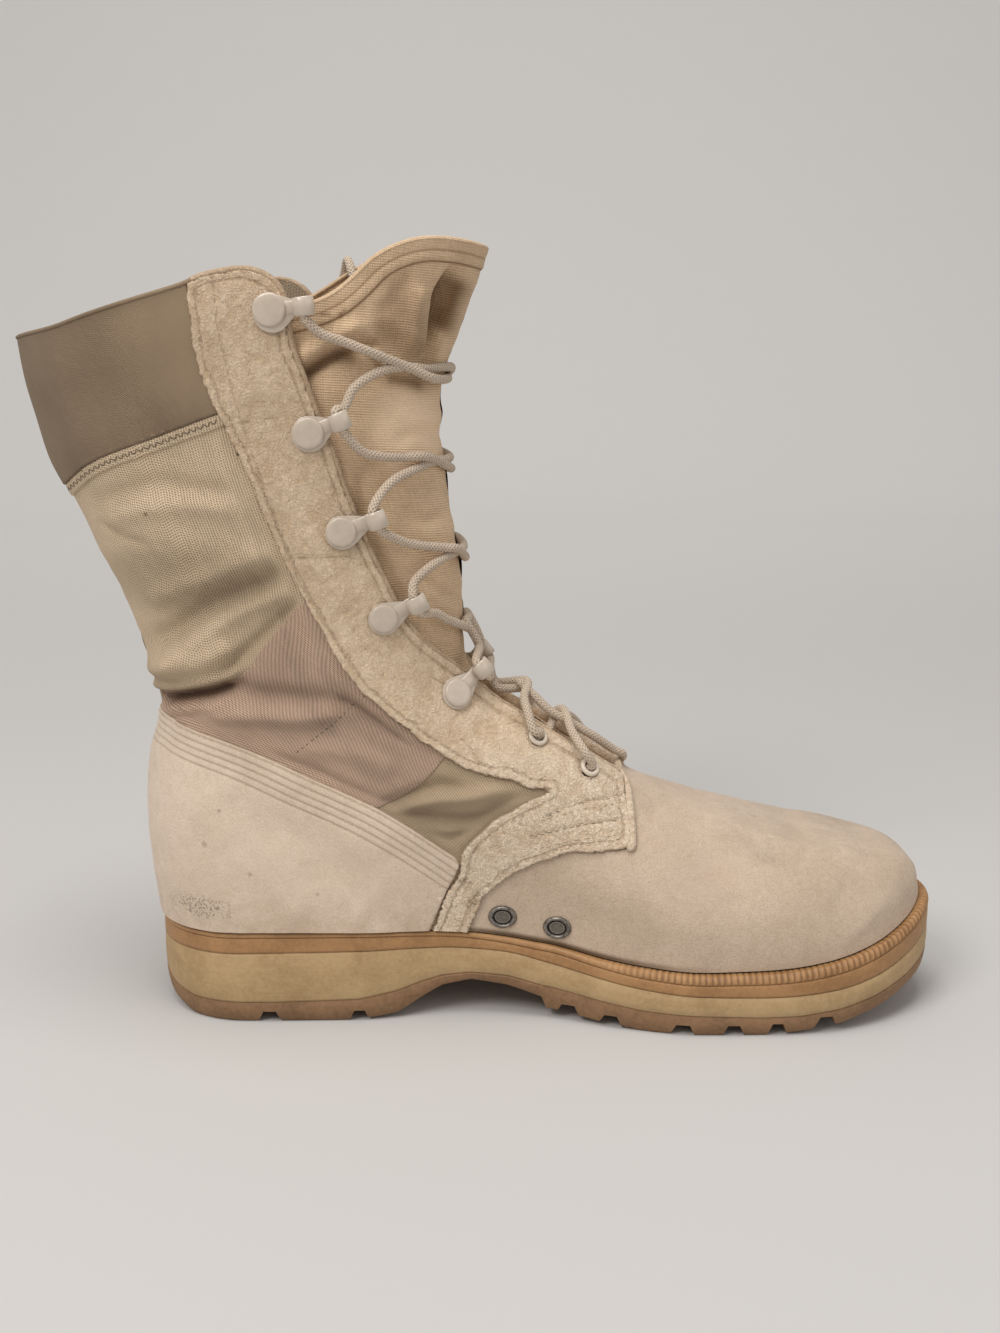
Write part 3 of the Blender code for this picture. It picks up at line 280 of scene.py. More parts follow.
def rounding(x, z, line, caps):
    """Share of the full width, falling to nothing on the line as an ellipse does."""
    flat = np.column_stack([x.ravel(), z.ravel()])
    out = np.empty(len(flat))
    for start in range(0, len(flat), 6000):
        part = flat[start : start + 6000]
        gap = (part[:, None, 0] - line[:, 0]) ** 2 + (part[:, None, 1] - line[:, 1]) ** 2
        near = gap.argmin(1)
        best = np.sqrt(gap[np.arange(len(part)), near])
        for step in (-1, 1):
            other = np.clip(near + step, 0, len(line) - 1)
            run = line[other] - line[near]
            length = np.maximum((run**2).sum(1), 1e-16)
            t = np.clip(((part - line[near]) * run).sum(1) / length, 0, 1)
            best = np.minimum(best, np.linalg.norm(part - line[near] - run * t[:, None], axis=1))
        depth = np.minimum(best / caps[near], 1)
        out[start : start + 6000] = np.sqrt(1 - (1 - depth) ** 2)
    return out.reshape(x.shape)


def half_width(x, z, side):
    foot = np.array(FOOT_WIDTHS)
    leg = np.array(LEG_WIDTHS)
    column = 1 if side == MEDIAL else 2
    low = eased(x, foot[:, 0] * LAST_LENGTH, foot[:, column] * BALL_WIDTH)
    high = eased(z, rise(leg[:, 0]), leg[:, 1] * LEG_WIDTH)
    start, end = (rise(share) for share in ANKLE_BLEND)
    t = np.clip((z - start) / (end - start), 0, 1)
    width = low + (high - low) * t * t * (3 - 2 * t)
    return width * rounding(x, z, FRONT, FRONT_CAP) * rounding(x, z, BACK, BACK_CAP)


def run_share(around):
    a = math.pi * np.asarray(around, float)
    return 0.5 - 0.5 * (0.92 * np.cos(a) + 0.08 * np.cos(3 * a))


def waver(x, z, size, seed):
    """Soft random waves about size across, mostly between -1 and 1."""
    dice = np.random.default_rng(seed)
    total = 0
    for _ in range(8):
        angle, phase = dice.uniform(0, 2 * math.pi, 2)
        wave = 2 * math.pi / (size * dice.uniform(0.6, 1.5))
        total = total + np.sin((x * math.cos(angle) + z * math.sin(angle)) * wave + phase)
    return total / 3


def smoothstep(value, low, high):
    t = np.clip((value - low) / (high - low), 0, 1)
    return t * t * (3 - 2 * t)


def outline_depth(x, z, outline):
    """Signed distance in the side view, positive inside a closed outline."""
    outline = np.asarray(outline, float)
    best = np.full(x.shape, 1e9)
    inside = np.zeros(x.shape, bool)
    for (ax, az), (bx, bz) in zip(outline, np.roll(outline, -1, axis=0)):
        dx, dz = bx - ax, bz - az
        length = max(dx * dx + dz * dz, 1e-16)
        t = np.clip(((x - ax) * dx + (z - az) * dz) / length, 0, 1)
        best = np.minimum(best, (x - ax - dx * t) ** 2 + (z - az - dz * t) ** 2)
        crosses = (az > z) != (bz > z)
        at = ax + (z - az) / (dz if abs(dz) > 1e-12 else 1e-12) * dx
        inside ^= crosses & (x < at)
    return np.sqrt(best) * np.where(inside, 1, -1)


def throat_curve(count=60):
    """Throat edge, its forward normals and the eyestay's width along it."""
    widths = np.array([row[2] for row in THROAT_EDGE]) * EYESTAY_WIDTH
    points, width = smooth_path(side_points(THROAT_EDGE), count, widths)
    tangent = np.gradient(points, axis=0)
    tangent /= np.linalg.norm(tangent, axis=1)[:, None]
    return points, np.column_stack([tangent[:, 1], -tangent[:, 0]]), width


def throat_station(share, setback):
    points, normal, _ = throat_curve(200)
    i = int(round(share * 199))
    return points[i] - normal[i] * setback, normal[i]


THROAT, THROAT_NORMAL, THROAT_WIDTH = throat_curve()
COLLAR = smooth_path(side_points(COLLAR_EDGE), 50)
SEAM = smooth_path(side_points(BAND_SEAM), 40)
COUNTER_EDGE = smooth_path(side_points(COUNTER_TOP), 50)
STRAP_HEEL_EDGE = smooth_path(side_points(STRAP_BACK), 40)
STRAP_TOE_EDGE = smooth_path(side_points(STRAP_FRONT), 40)
HEM = smooth_path(side_points(TONGUE_TOP), 50)
FAR_HEM = smooth_path(side_points(TONGUE_FAR_TOP), 50)
FAR = 0.5


def beside(path, amount):
    """A side-view path moved over to its left by an amount."""
    run = np.gradient(path, axis=0)
    run /= np.linalg.norm(run, axis=1)[:, None]
    return path + np.column_stack([-run[:, 1], run[:, 0]]) * amount


def stay_outer():
    """Outer edge of the eyestay from the strap's apex up to the collar."""
    outer = THROAT - THROAT_NORMAL * THROAT_WIDTH[:, None]
    apex = STRAP_HEEL_EDGE[0]
    return outer[(outer[:, 1] > apex[1]) & (outer[:, 0] < apex[0])]


def opening_outline():
    front = THROAT[0] + (0, FAR)
    return [(-FAR, COLLAR[0, 1]), *COLLAR, *THROAT[::-1], tuple(front), (-FAR, front[1])]


def eyestay_outline():
    top = COLLAR[COLLAR[:, 0] > stay_outer()[-1, 0]]
    outer = stay_outer()
    outer = outer[outer[:, 1] < np.interp(outer[:, 0], *COLLAR.T)]
    tab = np.array([(0.6045, 0.86), (0.608, 0.80), (0.611, 0.74), (0.609, 0.69)])
    tab = np.column_stack([tab[:, 0] * LAST_LENGTH, rise(tab[:, 1])])
    return [*THROAT[::-1], *tab, *STRAP_TOE_EDGE, *STRAP_HEEL_EDGE[::-1], *outer, *top]


def counter_outline():
    strap = STRAP_HEEL_EDGE[STRAP_HEEL_EDGE[:, 1] < COUNTER_EDGE[-1, 1]] - (0.5 * MM, 0)
    top = COUNTER_EDGE[COUNTER_EDGE[:, 0] < strap[0, 0]]
    return [(-FAR, top[0, 1]), *top, *strap, (strap[-1, 0], -FAR), (-FAR, -FAR)]


def band_outline():
    edge = (THROAT - THROAT_NORMAL * (THROAT_WIDTH[:, None] - 2 * MM))[::-1]
    collar = COLLAR[COLLAR[:, 0] < edge[0, 0]]
    seam = SEAM[SEAM[:, 0] < np.interp(SEAM[:, 1], edge[::-1, 1], edge[::-1, 0])]
    edge = edge[(edge[:, 1] > seam[-1, 1]) & (edge[:, 1] < collar[-1, 1])]
    return [(-FAR, seam[0, 1]), (-FAR, collar[0, 1]), *collar, *edge, *seam[::-1]]


def strip_outline():
    """Folded strip sewn on under the collar band."""
    low = beside(SEAM, -4.6 * MM)
    ends = [(SEAM[-1, 0] + 8 * MM, SEAM[-1, 1]), (low[-1, 0] + 8 * MM, low[-1, 1])]
    return [*SEAM, *ends, *low[::-1], (-FAR, low[0, 1]), (-FAR, SEAM[0, 1])]


def patch_outline():
    """Ankle patch between the canvas and the counter."""
    edge = [(63.5, 162), (56, 154), (48, 145), (41, 136), (33, 131), (25, 128.5), (14, 125.5), (-8, 120)]
    low = [(-8, 92), (60, 80), (88, 84.5), (102, 91), (109, 97.5), (116, 105), (125, 112)]
    edge, low = np.array(edge) * MM, np.array(low) * MM
    return [*smooth_path(edge, 30), *smooth_path(low, 30), (0.098, 0.140), (0.078, 0.166)]


def tongue_outline(side=MEDIAL):
    """The tongue; its far half stands a little higher beside the collar."""
    top_line = HEM if side == MEDIAL else FAR_HEM
    behind = THROAT - THROAT_NORMAL * 13 * MM
    top = np.interp(behind[-1, 0], top_line[:, 0], top_line[:, 1])
    behind = behind[behind[:, 1] < top]
    hem = top_line[top_line[:, 0] > behind[-1, 0]]
    toe = THROAT[0] + (13 * MM, 0)
    return [(toe[0], behind[0, 1]), *behind, (behind[-1, 0], top), *hem, (toe[0], hem[-1, 1])]


def vamp_outline():
    """Vamp: in front of a line hidden under the strap and its tab."""
    hidden = [(118, 0), (124, 45), (130, 62), (142, 72), (160, 76.5), (176, 78.5), (176, 300)]
    return [*(np.array(hidden) * MM), (FAR, 0.30), (FAR, 0.0)]


def holes_depth(x, z, side):
    """Distance outside every eyelet and vent hole."""
    spots = [(*throat_station(share, EYELET_SETBACK)[0], 2.7 * MM) for share in EYELET_STATIONS]
    if side == MEDIAL:
        spots += [(along * LAST_LENGTH, float(rise(up)), 4.1 * MM) for along, up in VENTS]
    return np.min([np.hypot(x - a, z - b) - radius for a, b, radius in spots], axis=0)


STAY_OUTLINE = eyestay_outline()
COUNTER_OUTLINE = counter_outline()
OPENING = opening_outline()


def crease_lift(x, z, table, side):
    """Lift of the cloth out of its plain form, from a table of creases."""
    total = np.zeros(x.shape)
    turn = 1.0 if side == MEDIAL else 0.85
    for lift, breadth, *spots in table:
        path = smooth_path(np.array(spots, float) * MM, 20)
        if side == LATERAL:
            path = path + (2.5 * MM, 1.5 * MM * math.sin(lift * 9))
        reach = breadth * MM * 2.6
        low, high = path.min(0) - reach, path.max(0) + reach
        near = (x > low[0]) & (x < high[0]) & (z > low[1]) & (z < high[1])
        if not near.any():
            continue
        away, along, _ = path_distance(x[near], z[near], path)
        ends = smoothstep(np.minimum(along, 1 - along), -0.06, 0.16)
        total[near] += turn * lift * 1.45 * MM * np.exp(-((away / (breadth * 0.85 * MM)) ** 2)) * ends
    return total


def cloth_lift(x, z, side):
    """Creases and slack of the canvas, held flat at the edges of stiff panels."""
    held = np.maximum(outline_depth(x, z, STAY_OUTLINE), outline_depth(x, z, COUNTER_OUTLINE))
    held = np.maximum(held, outline_depth(x, z, band_outline()))
    free = smoothstep(-held, 0.3 * MM, 4.5 * MM)
    lift = crease_lift(x, z, CREASES, side)
    slack = smoothstep(z, 0.085, 0.12) * smoothstep(0.2 - z, 0.0, 0.02)
    lift = lift + slack * (waver(x, z, 26 * MM, 3 + side) * 0.45 + waver(x, z, 9 * MM, 8 + side) * 0.14) * MM
    whole = crease_lift(x, z, SWELLS, side) + waver(x, z, 45 * MM, 21 + side) * 0.35 * MM
    seat = smoothstep(z - level(SEAT, x), 0.001, 0.012)
    return (lift * free + whole) * seat


def net_normals(points, side):
    run = np.gradient(points, axis=1)
    climb = np.gradient(points, axis=0)
    normal = np.cross(run, climb) * -side
    normal[:, 0, 1] = 0
    normal[:, -1, 1] = 0
    return normal / np.maximum(np.linalg.norm(normal, axis=2), 1e-12)[..., None]


def side_net(side, columns, foot_rows, shaft_rows):
    """One side of the upper as rows of points with normals, thread coordinates and side-view places."""
    ups = np.concatenate([np.linspace(0, 1, foot_rows), np.linspace(1, 2, shaft_rows + 1)[1:]])
    around = np.linspace(0, 1, columns + 1)
    at = np.linspace(0, 2, len(FRONT))
    back = np.column_stack([np.interp(ups, at, BACK[:, k]) for k in (0, 1)])
    front = np.column_stack([np.interp(ups, at, FRONT[:, k]) for k in (0, 1)])
    share = run_share(around)[None, :]
    x = back[:, :1] + (front[:, :1] - back[:, :1]) * share
    z = back[:, 1:] + (front[:, 1:] - back[:, 1:]) * share
    chord = BACK[0, 1] + (FRONT[0, 1] - BACK[0, 1]) * share
    z = z + (level(SEAT, x) + SEAT_GAP - chord) * np.clip(1 - ups, 0, 1)[:, None] ** 2
    points = np.stack([x, side * half_width(x, z, side), z], axis=2)
    normal = net_normals(points, side)
    normal[:, :, 2] *= smoothstep(ups, -0.001, 0.03)[:, None]
    normal /= np.linalg.norm(normal, axis=2)[..., None]
    ends = 0.5 * (1 - smoothstep(np.minimum(around, 1 - around), 0.0, 0.13))[None, :]
    lift = cloth_lift(x, z, side) * (1 - ends) + cloth_lift(x, z, -side) * ends
    points = points + normal * lift[..., None]
    points[:, 0, 1] = 0
    points[:, -1, 1] = 0
    normal = net_normals(points, side)
    normal[:, :, 2] *= smoothstep(ups, -0.001, 0.03)[:, None]
    normal /= np.linalg.norm(normal, axis=2)[..., None]
    run = np.zeros(x.shape)
    run[:, 1:] = np.cumsum(np.linalg.norm(np.diff(points, axis=1), axis=2), axis=1)
    run -= run[:, columns // 2][:, None]
    climb = np.zeros(x.shape)
    climb[1:] = np.cumsum(np.linalg.norm(np.diff(points, axis=0), axis=2), axis=0)
    layers = [layer[..., None] for layer in (run, climb, x, z)]
    table = np.concatenate([points, normal, *layers], axis=2)
    rows, cols = x.shape
    index = np.arange(rows * cols).reshape(rows, cols)
    a, b, c, d = index[:-1, :-1], index[:-1, 1:], index[1:, 1:], index[1:, :-1]
    even = (np.add.outer(np.arange(rows - 1), np.arange(cols - 1)) % 2 == 0)
    one = np.where(even[..., None], np.stack([a, b, c], 2), np.stack([a, b, d], 2)).reshape(-1, 3)
    two = np.where(even[..., None], np.stack([a, c, d], 2), np.stack([b, c, d], 2)).reshape(-1, 3)
    faces = np.vstack([one, two])
    if side == LATERAL:
        faces = faces[:, ::-1]
    return table.reshape(-1, 10), faces


NETS = {MEDIAL: side_net(MEDIAL, 200, 104, 150), LATERAL: side_net(LATERAL, 120, 104, 150)}
PLACES = {side: (net[0][:, 8], net[0][:, 9]) for side, net in NETS.items()}


def split_at(table, faces, mark):
    """Splits the triangles where the last column passes mark."""
    value = table[:, -1]
    value[np.abs(value - mark) < 0.03 * MM] = mark + 1e-9
    over = value[faces] > mark
    count = over.sum(1)
    mixed = (count == 1) | (count == 2)
    extra, added, found = [], [], {}

    def between(a, b):
        key = (a, b) if a < b else (b, a)
        if key not in found:
            t = (mark - value[a]) / (value[b] - value[a])
            found[key] = len(table) + len(extra)
            row = table[a] + (table[b] - table[a]) * t
            row[-1] = mark
            extra.append(row)
        return found[key]

    for (a, b, c), flags, many in zip(faces[mixed].tolist(), over[mixed].tolist(), count[mixed].tolist()):
        odd = flags.index(many == 1)
        a, b, c = ((a, b, c), (b, c, a), (c, a, b))[odd]
        ab, ac = between(a, b), between(a, c)
        added += [(a, ab, ac), (ab, b, c), (ab, c, ac)]
    if not added:
        return table, faces
    return np.vstack([table, extra]), np.vstack([faces[~mixed], added])


def compact(table, faces):
    used, inverse = np.unique(faces, return_inverse=True)
    return table[used], inverse.reshape(faces.shape)


def cut_panel(side, depth, marks=(0.0,)):
    """The part of one side's net where depth is positive, split along each mark of depth."""
    base, faces = NETS[side]
    table = np.column_stack([base, depth])
    faces = faces[(depth[faces] > 0).any(1)]
    table, faces = compact(table, faces)
    for mark in marks:
        table, faces = split_at(table, faces, mark)
    middle = table[faces][:, :, -1].mean(1)
    return compact(table, faces[middle > 0])


def in_frame(points):
    return np.asarray(points, float) - (HEEL_REST, 0, 0)


def make_piece(name, points, faces, finish, slot, marks=None):
    """Adds a mesh to the scene, riding on the boot."""
    mesh = bpy.data.meshes.new(name)
    faces = faces.tolist() if isinstance(faces, np.ndarray) else faces
    mesh.from_pydata(in_frame(points).tolist(), [], faces)
    for key, values in (marks or {}).items():
        layer = mesh.attributes.new(key, "FLOAT", "POINT")
        layer.data.foreach_set("value", np.asarray(values, np.float32))
    mesh.materials.append(finish)
    mesh.validate()
    mesh.shade_smooth()
    piece = bpy.data.objects.new(name, mesh)
    bpy.context.scene.collection.objects.link(piece)
    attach(piece, "root")
    return piece


def face_out(mesh):
    """Turns a closed mesh's faces outward."""
    shape = bmesh.new()
    shape.from_mesh(mesh)
    bmesh.ops.recalc_face_normals(shape, faces=shape.faces)
    shape.to_mesh(mesh)
    shape.free()


def joined(parts):
    """Point tables and faces of several parts as one."""
    tables, faces, start = [], [], 0
    for table, some in parts:
        tables.append(table)
        faces.append(np.asarray(some) + start)
        start += len(table)
    return np.vstack(tables), np.vstack(faces)


def edge_profile(depth, thickness, bevel):
    """Lift of a panel over its base, rounded down at its edge."""
    t = np.clip(depth / bevel, 0, 1)
    return (thickness + 0.25 * MM) * np.sqrt(1 - (1 - t) ** 2) - 0.25 * MM


def sewn_panel(name, depths, thickness, finish, slot, bevel=0.5 * MM, extra=None, marks=None):
    """A panel on the upper from its depth inside its outline on each side."""
    parts = []
    cuts = (0.0, 0.12 * bevel, 0.4 * bevel, bevel)
    for side, depth in depths.items():
        table, faces = cut_panel(side, depth, cuts)
        lift = edge_profile(table[:, -1], thickness, bevel)
        if extra is not None:
            lift = lift + extra(table[:, 8], table[:, 9], table[:, -1], side)
        table = table.copy()
        table[:, :3] += table[:, 3:6] * lift[:, None]
        parts.append((table, faces))
    table, faces = joined(parts)
    fields = {"run": table[:, 6], "climb": table[:, 7], "edge": table[:, -1]}
    for key, work in (marks or {}).items():
        fields[key] = work(table)
    return make_piece(name, table[:, :3], faces, finish, slot, fields)


# Finishes.
class Mark:
    """A number, colour or vector on its way through a finish."""

    def __init__(self, kit, socket):
        self.kit = kit
        self.socket = socket

    def __add__(self, other):
        return self.kit.math("ADD", self, other)

    def __radd__(self, other):
        return self.kit.math("ADD", other, self)

    def __sub__(self, other):
        return self.kit.math("SUBTRACT", self, other)

    def __rsub__(self, other):
        return self.kit.math("SUBTRACT", other, self)

    def __mul__(self, other):
        return self.kit.math("MULTIPLY", self, other)

    def __rmul__(self, other):
        return self.kit.math("MULTIPLY", other, self)

    def __truediv__(self, other):
        return self.kit.math("DIVIDE", self, other)

    def __rtruediv__(self, other):
        return self.kit.math("DIVIDE", other, self)


class Finish:
    """A material being mixed."""

    def __init__(self, name):
        self.material = bpy.data.materials.new(name)
        self.material.use_nodes = True
        self.tree = self.material.node_tree
        self.shader = self.tree.nodes["Principled BSDF"]
        self.made = {}

    def give(self, socket, value):
        if isinstance(value, Mark):
            self.tree.links.new(value.socket, socket)
        else:
            socket.default_value = value

    def node(self, kind, settings=None, inputs=None, out=0):
        item = self.tree.nodes.new(kind)
        for key, value in (settings or {}).items():
            setattr(item, key, value)
        for key, value in (inputs or {}).items():
            self.give(item.inputs[key], value)
        return Mark(self, item.outputs[out])

    def math(self, operation, *values):
        return self.node("ShaderNodeMath", {"operation": operation}, dict(enumerate(values)))

    def vector(self, operation, *values):
        return self.node("ShaderNodeVectorMath", {"operation": operation}, dict(enumerate(values)))

    def mix(self, share, first, second):
        first = (*first, 1) if isinstance(first, tuple) and len(first) == 3 else first
        second = (*second, 1) if isinstance(second, tuple) and len(second) == 3 else second
        return self.node("ShaderNodeMix", {"data_type": "RGBA"}, {0: share, 6: first, 7: second}, 2)

    def tint(self, colour, share, other):
        """Multiplies a colour by another, by a share."""
        other = (*other, 1)
        settings = {"data_type": "RGBA", "blend_type": "MULTIPLY"}
        return self.node("ShaderNodeMix", settings, {0: share, 6: colour, 7: other}, 2)

    def place(self):
        if "place" not in self.made:
            self.made["place"] = self.node("ShaderNodeTexCoord", out="Object")
        return self.made["place"]

    def axis(self, which):
        if "axes" not in self.made:
            item = self.tree.nodes.new("ShaderNodeSeparateXYZ")
            self.give(item.inputs[0], self.place())
            self.made["axes"] = item
        return Mark(self, self.made["axes"].outputs[which])

    def field(self, name):
        if name not in self.made:
            self.made[name] = self.node("ShaderNodeAttribute", {"attribute_name": name}, out="Fac")
        return self.made[name]

    def noise(self, size, detail=2.0, rough=0.5, place=None, warp=0.0):
        """Noise about size across, in metres, between 0 and 1."""
        where = place or self.place()
        sockets = {"Vector": where, "Scale": 1 / size, "Detail": detail}
        sockets.update({"Roughness": rough, "Distortion": warp})
        return self.node("ShaderNodeTexNoise", None, sockets, "Fac")

    def ramp(self, value, low, high, start=0.0, end=1.0):
        sockets = {"Value": value, "From Min": low, "From Max": high, "To Min": start, "To Max": end}
        return self.node("ShaderNodeMapRange", {"interpolation_type": "SMOOTHSTEP"}, sockets)

    def sine(self, value, size):
        return self.math("SINE", value * (2 * math.pi / size))

    def stretched(self, u, v, w=0.0):
        return self.node("ShaderNodeCombineXYZ", None, {0: u, 1: v, 2: w})

    def spot(self, x, z, across, down):
        """1 in the middle of a soft spot in the side view, 0 outside it."""
        dx = (self.axis(0) - (x * MM - HEEL_REST)) / (across * MM)
        dz = (self.axis(2) - z * MM) / (down * MM)
        return self.ramp(dx * dx + dz * dz, 0.0, 1.0, 1.0, 0.0)

    def finish(self, colour, roughness, bumps=(), **constants):
        self.give(self.shader.inputs["Base Color"], colour)
        self.give(self.shader.inputs["Roughness"], roughness)
        last = None
        for height, strength, distance in bumps:
            sockets = {"Height": height, "Strength": strength, "Distance": distance}
            if last:
                sockets["Normal"] = last
            last = self.node("ShaderNodeBump", None, sockets)
        if last:
            self.give(self.shader.inputs["Normal"], last)
        for key, value in constants.items():
            self.shader.inputs[key.replace("_", " ")].default_value = value
        return self.material


def rgb(text):
    """Linear colour from a six-figure screen colour."""
    parts = [int(text[i : i + 2], 16) / 255 for i in (0, 2, 4)]
    return tuple(p / 12.92 if p <= 0.04045 else ((p + 0.055) / 1.055) ** 2.4 for p in parts)


def suede(name, pale, deep, fuzz=1.0, rows=(), marks=None, pebble=0.0):
    """Rough-out leather: soft nap, blotches, rubbed places and pressed seam rows."""
    f = Finish(name)
    broad = f.ramp(f.noise(0.035, 3, 0.55, warp=0.4), 0.32, 0.70)
    patchy = f.noise(0.0085, 4, 0.6)
    nap = f.noise(0.0011, 3, 0.6)
    fibre = f.noise(0.00042, 2, 0.7)
    wide = 0.30 if not pebble else 0.22
    share = f.math("MULTIPLY_ADD", broad, wide, patchy * wide + (nap - 0.5) * (0.45 * fuzz) + (0.42 - wide))
    colour = f.mix(f.ramp(share, 0.10, 0.80), deep, pale)
    colour = f.tint(colour, f.ramp(fibre, 0.60, 0.34) * (0.44 * fuzz), (0.62, 0.54, 0.47))
    colour = f.tint(colour, f.ramp(f.noise(0.0028, 3, 0.6), 0.60, 0.36) * (0.16 * fuzz), (0.74, 0.68, 0.62))
    height = nap * 0.6 + fibre * 0.5 + patchy * 0.5
    if pebble:
        lump = f.noise(0.0010, 3, 0.65, warp=0.8)
        pit = f.ramp(lump, 0.62, 0.34)
        worn = f.noise(0.0060, 3, 0.55, warp=0.6)
        tuft = f.ramp(f.noise(0.0007, 2, 0.6), 0.50, 0.66)
        low = f.ramp(f.axis(2), 0.112, 0.092)
        colour = f.mix(low * 0.75, colour, (1.0, 0.845, 0.675))
        # Darker pits between the lumps: partly the leather's own darker hollows, partly painted shade.
        colour = f.tint(colour, pit * (low * 0.26 + 0.34), (0.66, 0.55, 0.43))
        colour = f.tint(colour, f.ramp(worn, 0.64, 0.34) * 0.42, (0.72, 0.62, 0.50))
        # Paler tufts: painted highlights on the nap.
        colour = f.mix(tuft * (0.06 * pebble), colour, (0.90, 0.75, 0.58))
        colour = f.tint(colour, f.ramp(f.axis(2), 0.125, 0.205) * 0.55, (0.76, 0.74, 0.72))
        height = height + lump * (low * 1.4 + 2.2) + tuft * 0.3 + worn * 3.0
    if marks:
        colour = marks(f, colour)
    bumps = [(height, 0.45 * fuzz if not pebble else 0.8, 0.0007)]
    if rows:
        edge = f.field("edge")
        # Dark band on each panel's edge wall: partly its darker cut edge, partly painted shade in the gap
        # under it.
        colour = f.tint(colour, f.ramp(edge, 0.1 * MM, 0.6 * MM, 0.78, 0.0), (0.36, 0.29, 0.23))
        groove = None
        for row in rows:
            near = f.ramp(f.math("ABSOLUTE", edge - row * MM), 0.0, 0.8 * MM, 1.0, 0.0)
            groove = near if groove is None else f.math("MAXIMUM", groove, near)
        if pebble:
            groove = f.math("MAXIMUM", groove, f.ramp(f.field("join"), 0.0, 0.7 * MM, 0.9, 0.0))
        colour = f.tint(colour, groove * (0.45 if pebble else 0.32), (0.55, 0.46, 0.38))
        bumps.append((1 - groove, 0.6, 0.0005))
    rough = f.ramp(nap, 0.3, 0.8, 0.86, 0.98)
    return f.finish(colour, rough, bumps, Sheen_Weight=0.12, Sheen_Roughness=0.6, Specular_IOR_Level=0.22)


def woven(
    name, pale, deep, pitch=0.9, slant=0.0, marks=None, streak=0.55, lumps=0.5,
    strength=0.7, ribbed=0.0, weave=0.75,
):
    """Woven cloth: crossing threads, uneven yarns and soft wear."""
    f = Finish(name)
    u, v = f.field("run"), f.field("climb")
    if slant:
        u = u + v * slant
    wobble = (f.noise(0.006, 2, 0.5) - 0.5) * (0.25 * pitch * MM)
    warp = f.sine(u + wobble, pitch * MM)
    weft = f.sine(v + wobble, pitch * MM)
    threads = f.math("MAXIMUM", warp, weft * 0.85) * 0.5 + 0.5
    yarn = f.noise(1.0, 2, 0.6, f.stretched(u / (0.55 * MM), v / (7 * MM), 0.3))
    pick = f.noise(1.0, 2, 0.6, f.stretched(u / (7 * MM), v / (0.55 * MM), 4.7))
    fleck = f.noise(0.0006, 2, 0.6)
    broad = f.noise(0.03, 3, 0.55, warp=0.3)
    share = (yarn - 0.5) * streak * 2.0 + (pick - 0.5) * 0.7 + (fleck - 0.5) * 0.7 + (threads - 0.5) * weave
    if ribbed:
        ridge = f.sine(v + wobble * 0.8, 0.85 * MM) * 0.5 + 0.5
        below = f.ramp(f.field("hem"), 7.1 * MM, 7.7 * MM)
        share = share + (ridge - 0.5) * ribbed * below
        threads = threads * 0.5 + ridge * 0.5
    colour = f.mix(f.ramp(share + (broad - 0.5) * 0.9, -0.62, 0.62), deep, pale)
    if marks:
        colour = marks(f, colour)
    height = threads * 0.8 + yarn * 0.5 * lumps + pick * 0.4 * lumps + fleck * 0.3
    bumps = [(height, strength, 0.0005)]
    rough = f.ramp(fleck, 0.3, 0.7, 0.82, 0.95)
    return f.finish(colour, rough, bumps, Sheen_Weight=0.08, Specular_IOR_Level=0.2)


def rubber(name, pale, deep, grain=1.0, rough=0.62, lines=0.0, marks=None):
    """Moulded rubber: fine grain, dull smears and small dark scuffs."""
    f = Finish(name)
    broad = f.noise(0.018, 4, 0.6, warp=0.5)
    fine = f.noise(0.0016, 4, 0.65)
    pit = f.ramp(f.noise(0.0008, 2, 0.5), 0.66, 0.80)
    colour = f.mix(f.ramp(broad * 0.6 + fine * 0.4, 0.32, 0.66), deep, pale)
    colour = f.tint(colour, pit * 0.35, (0.30, 0.24, 0.18))
    if marks:
        colour = marks(f, colour)
    drag = f.noise(1.0, 3, 0.6, f.stretched(f.axis(0) / 0.02, f.axis(1) / 0.02, f.axis(2) / 0.0007))
    height = fine * 0.5 - pit * 0.4 + drag * lines
    roughness = f.ramp(broad, 0.3, 0.7, rough - 0.08, rough + 0.14)
    return f.finish(colour, roughness, [(height, 0.35 * grain, 0.0005)], Specular_IOR_Level=0.38)


def counter_marks(f, colour):
    """Scuffs and dirt specks on the heel counter, mottled darker towards its foot."""
    speckle = f.ramp(f.noise(0.0009, 3, 0.7), 0.50, 0.60)
    scuff = f.spot(22, 46, 17, 6) * speckle
    colour = f.tint(colour, scuff * 0.85, (0.34, 0.32, 0.33))
    for x, z, size in ((24, 71, 1.5), (41, 60, 1.2), (30, 84, 0.9), (66, 52, 0.9)):
        colour = f.tint(colour, f.spot(x, z, size, size) * 0.6, (0.45, 0.40, 0.36))
    colour = f.mix(f.spot(45, 62, 46, 22) * 0.22, colour, (0.62, 0.48, 0.37))
    low = f.ramp(f.axis(2), 0.056, 0.036)
    return f.tint(colour, low * f.ramp(f.noise(0.006, 3, 0.6), 0.3, 0.7, 0.3, 1.0) * 0.42, (0.60, 0.52, 0.43))


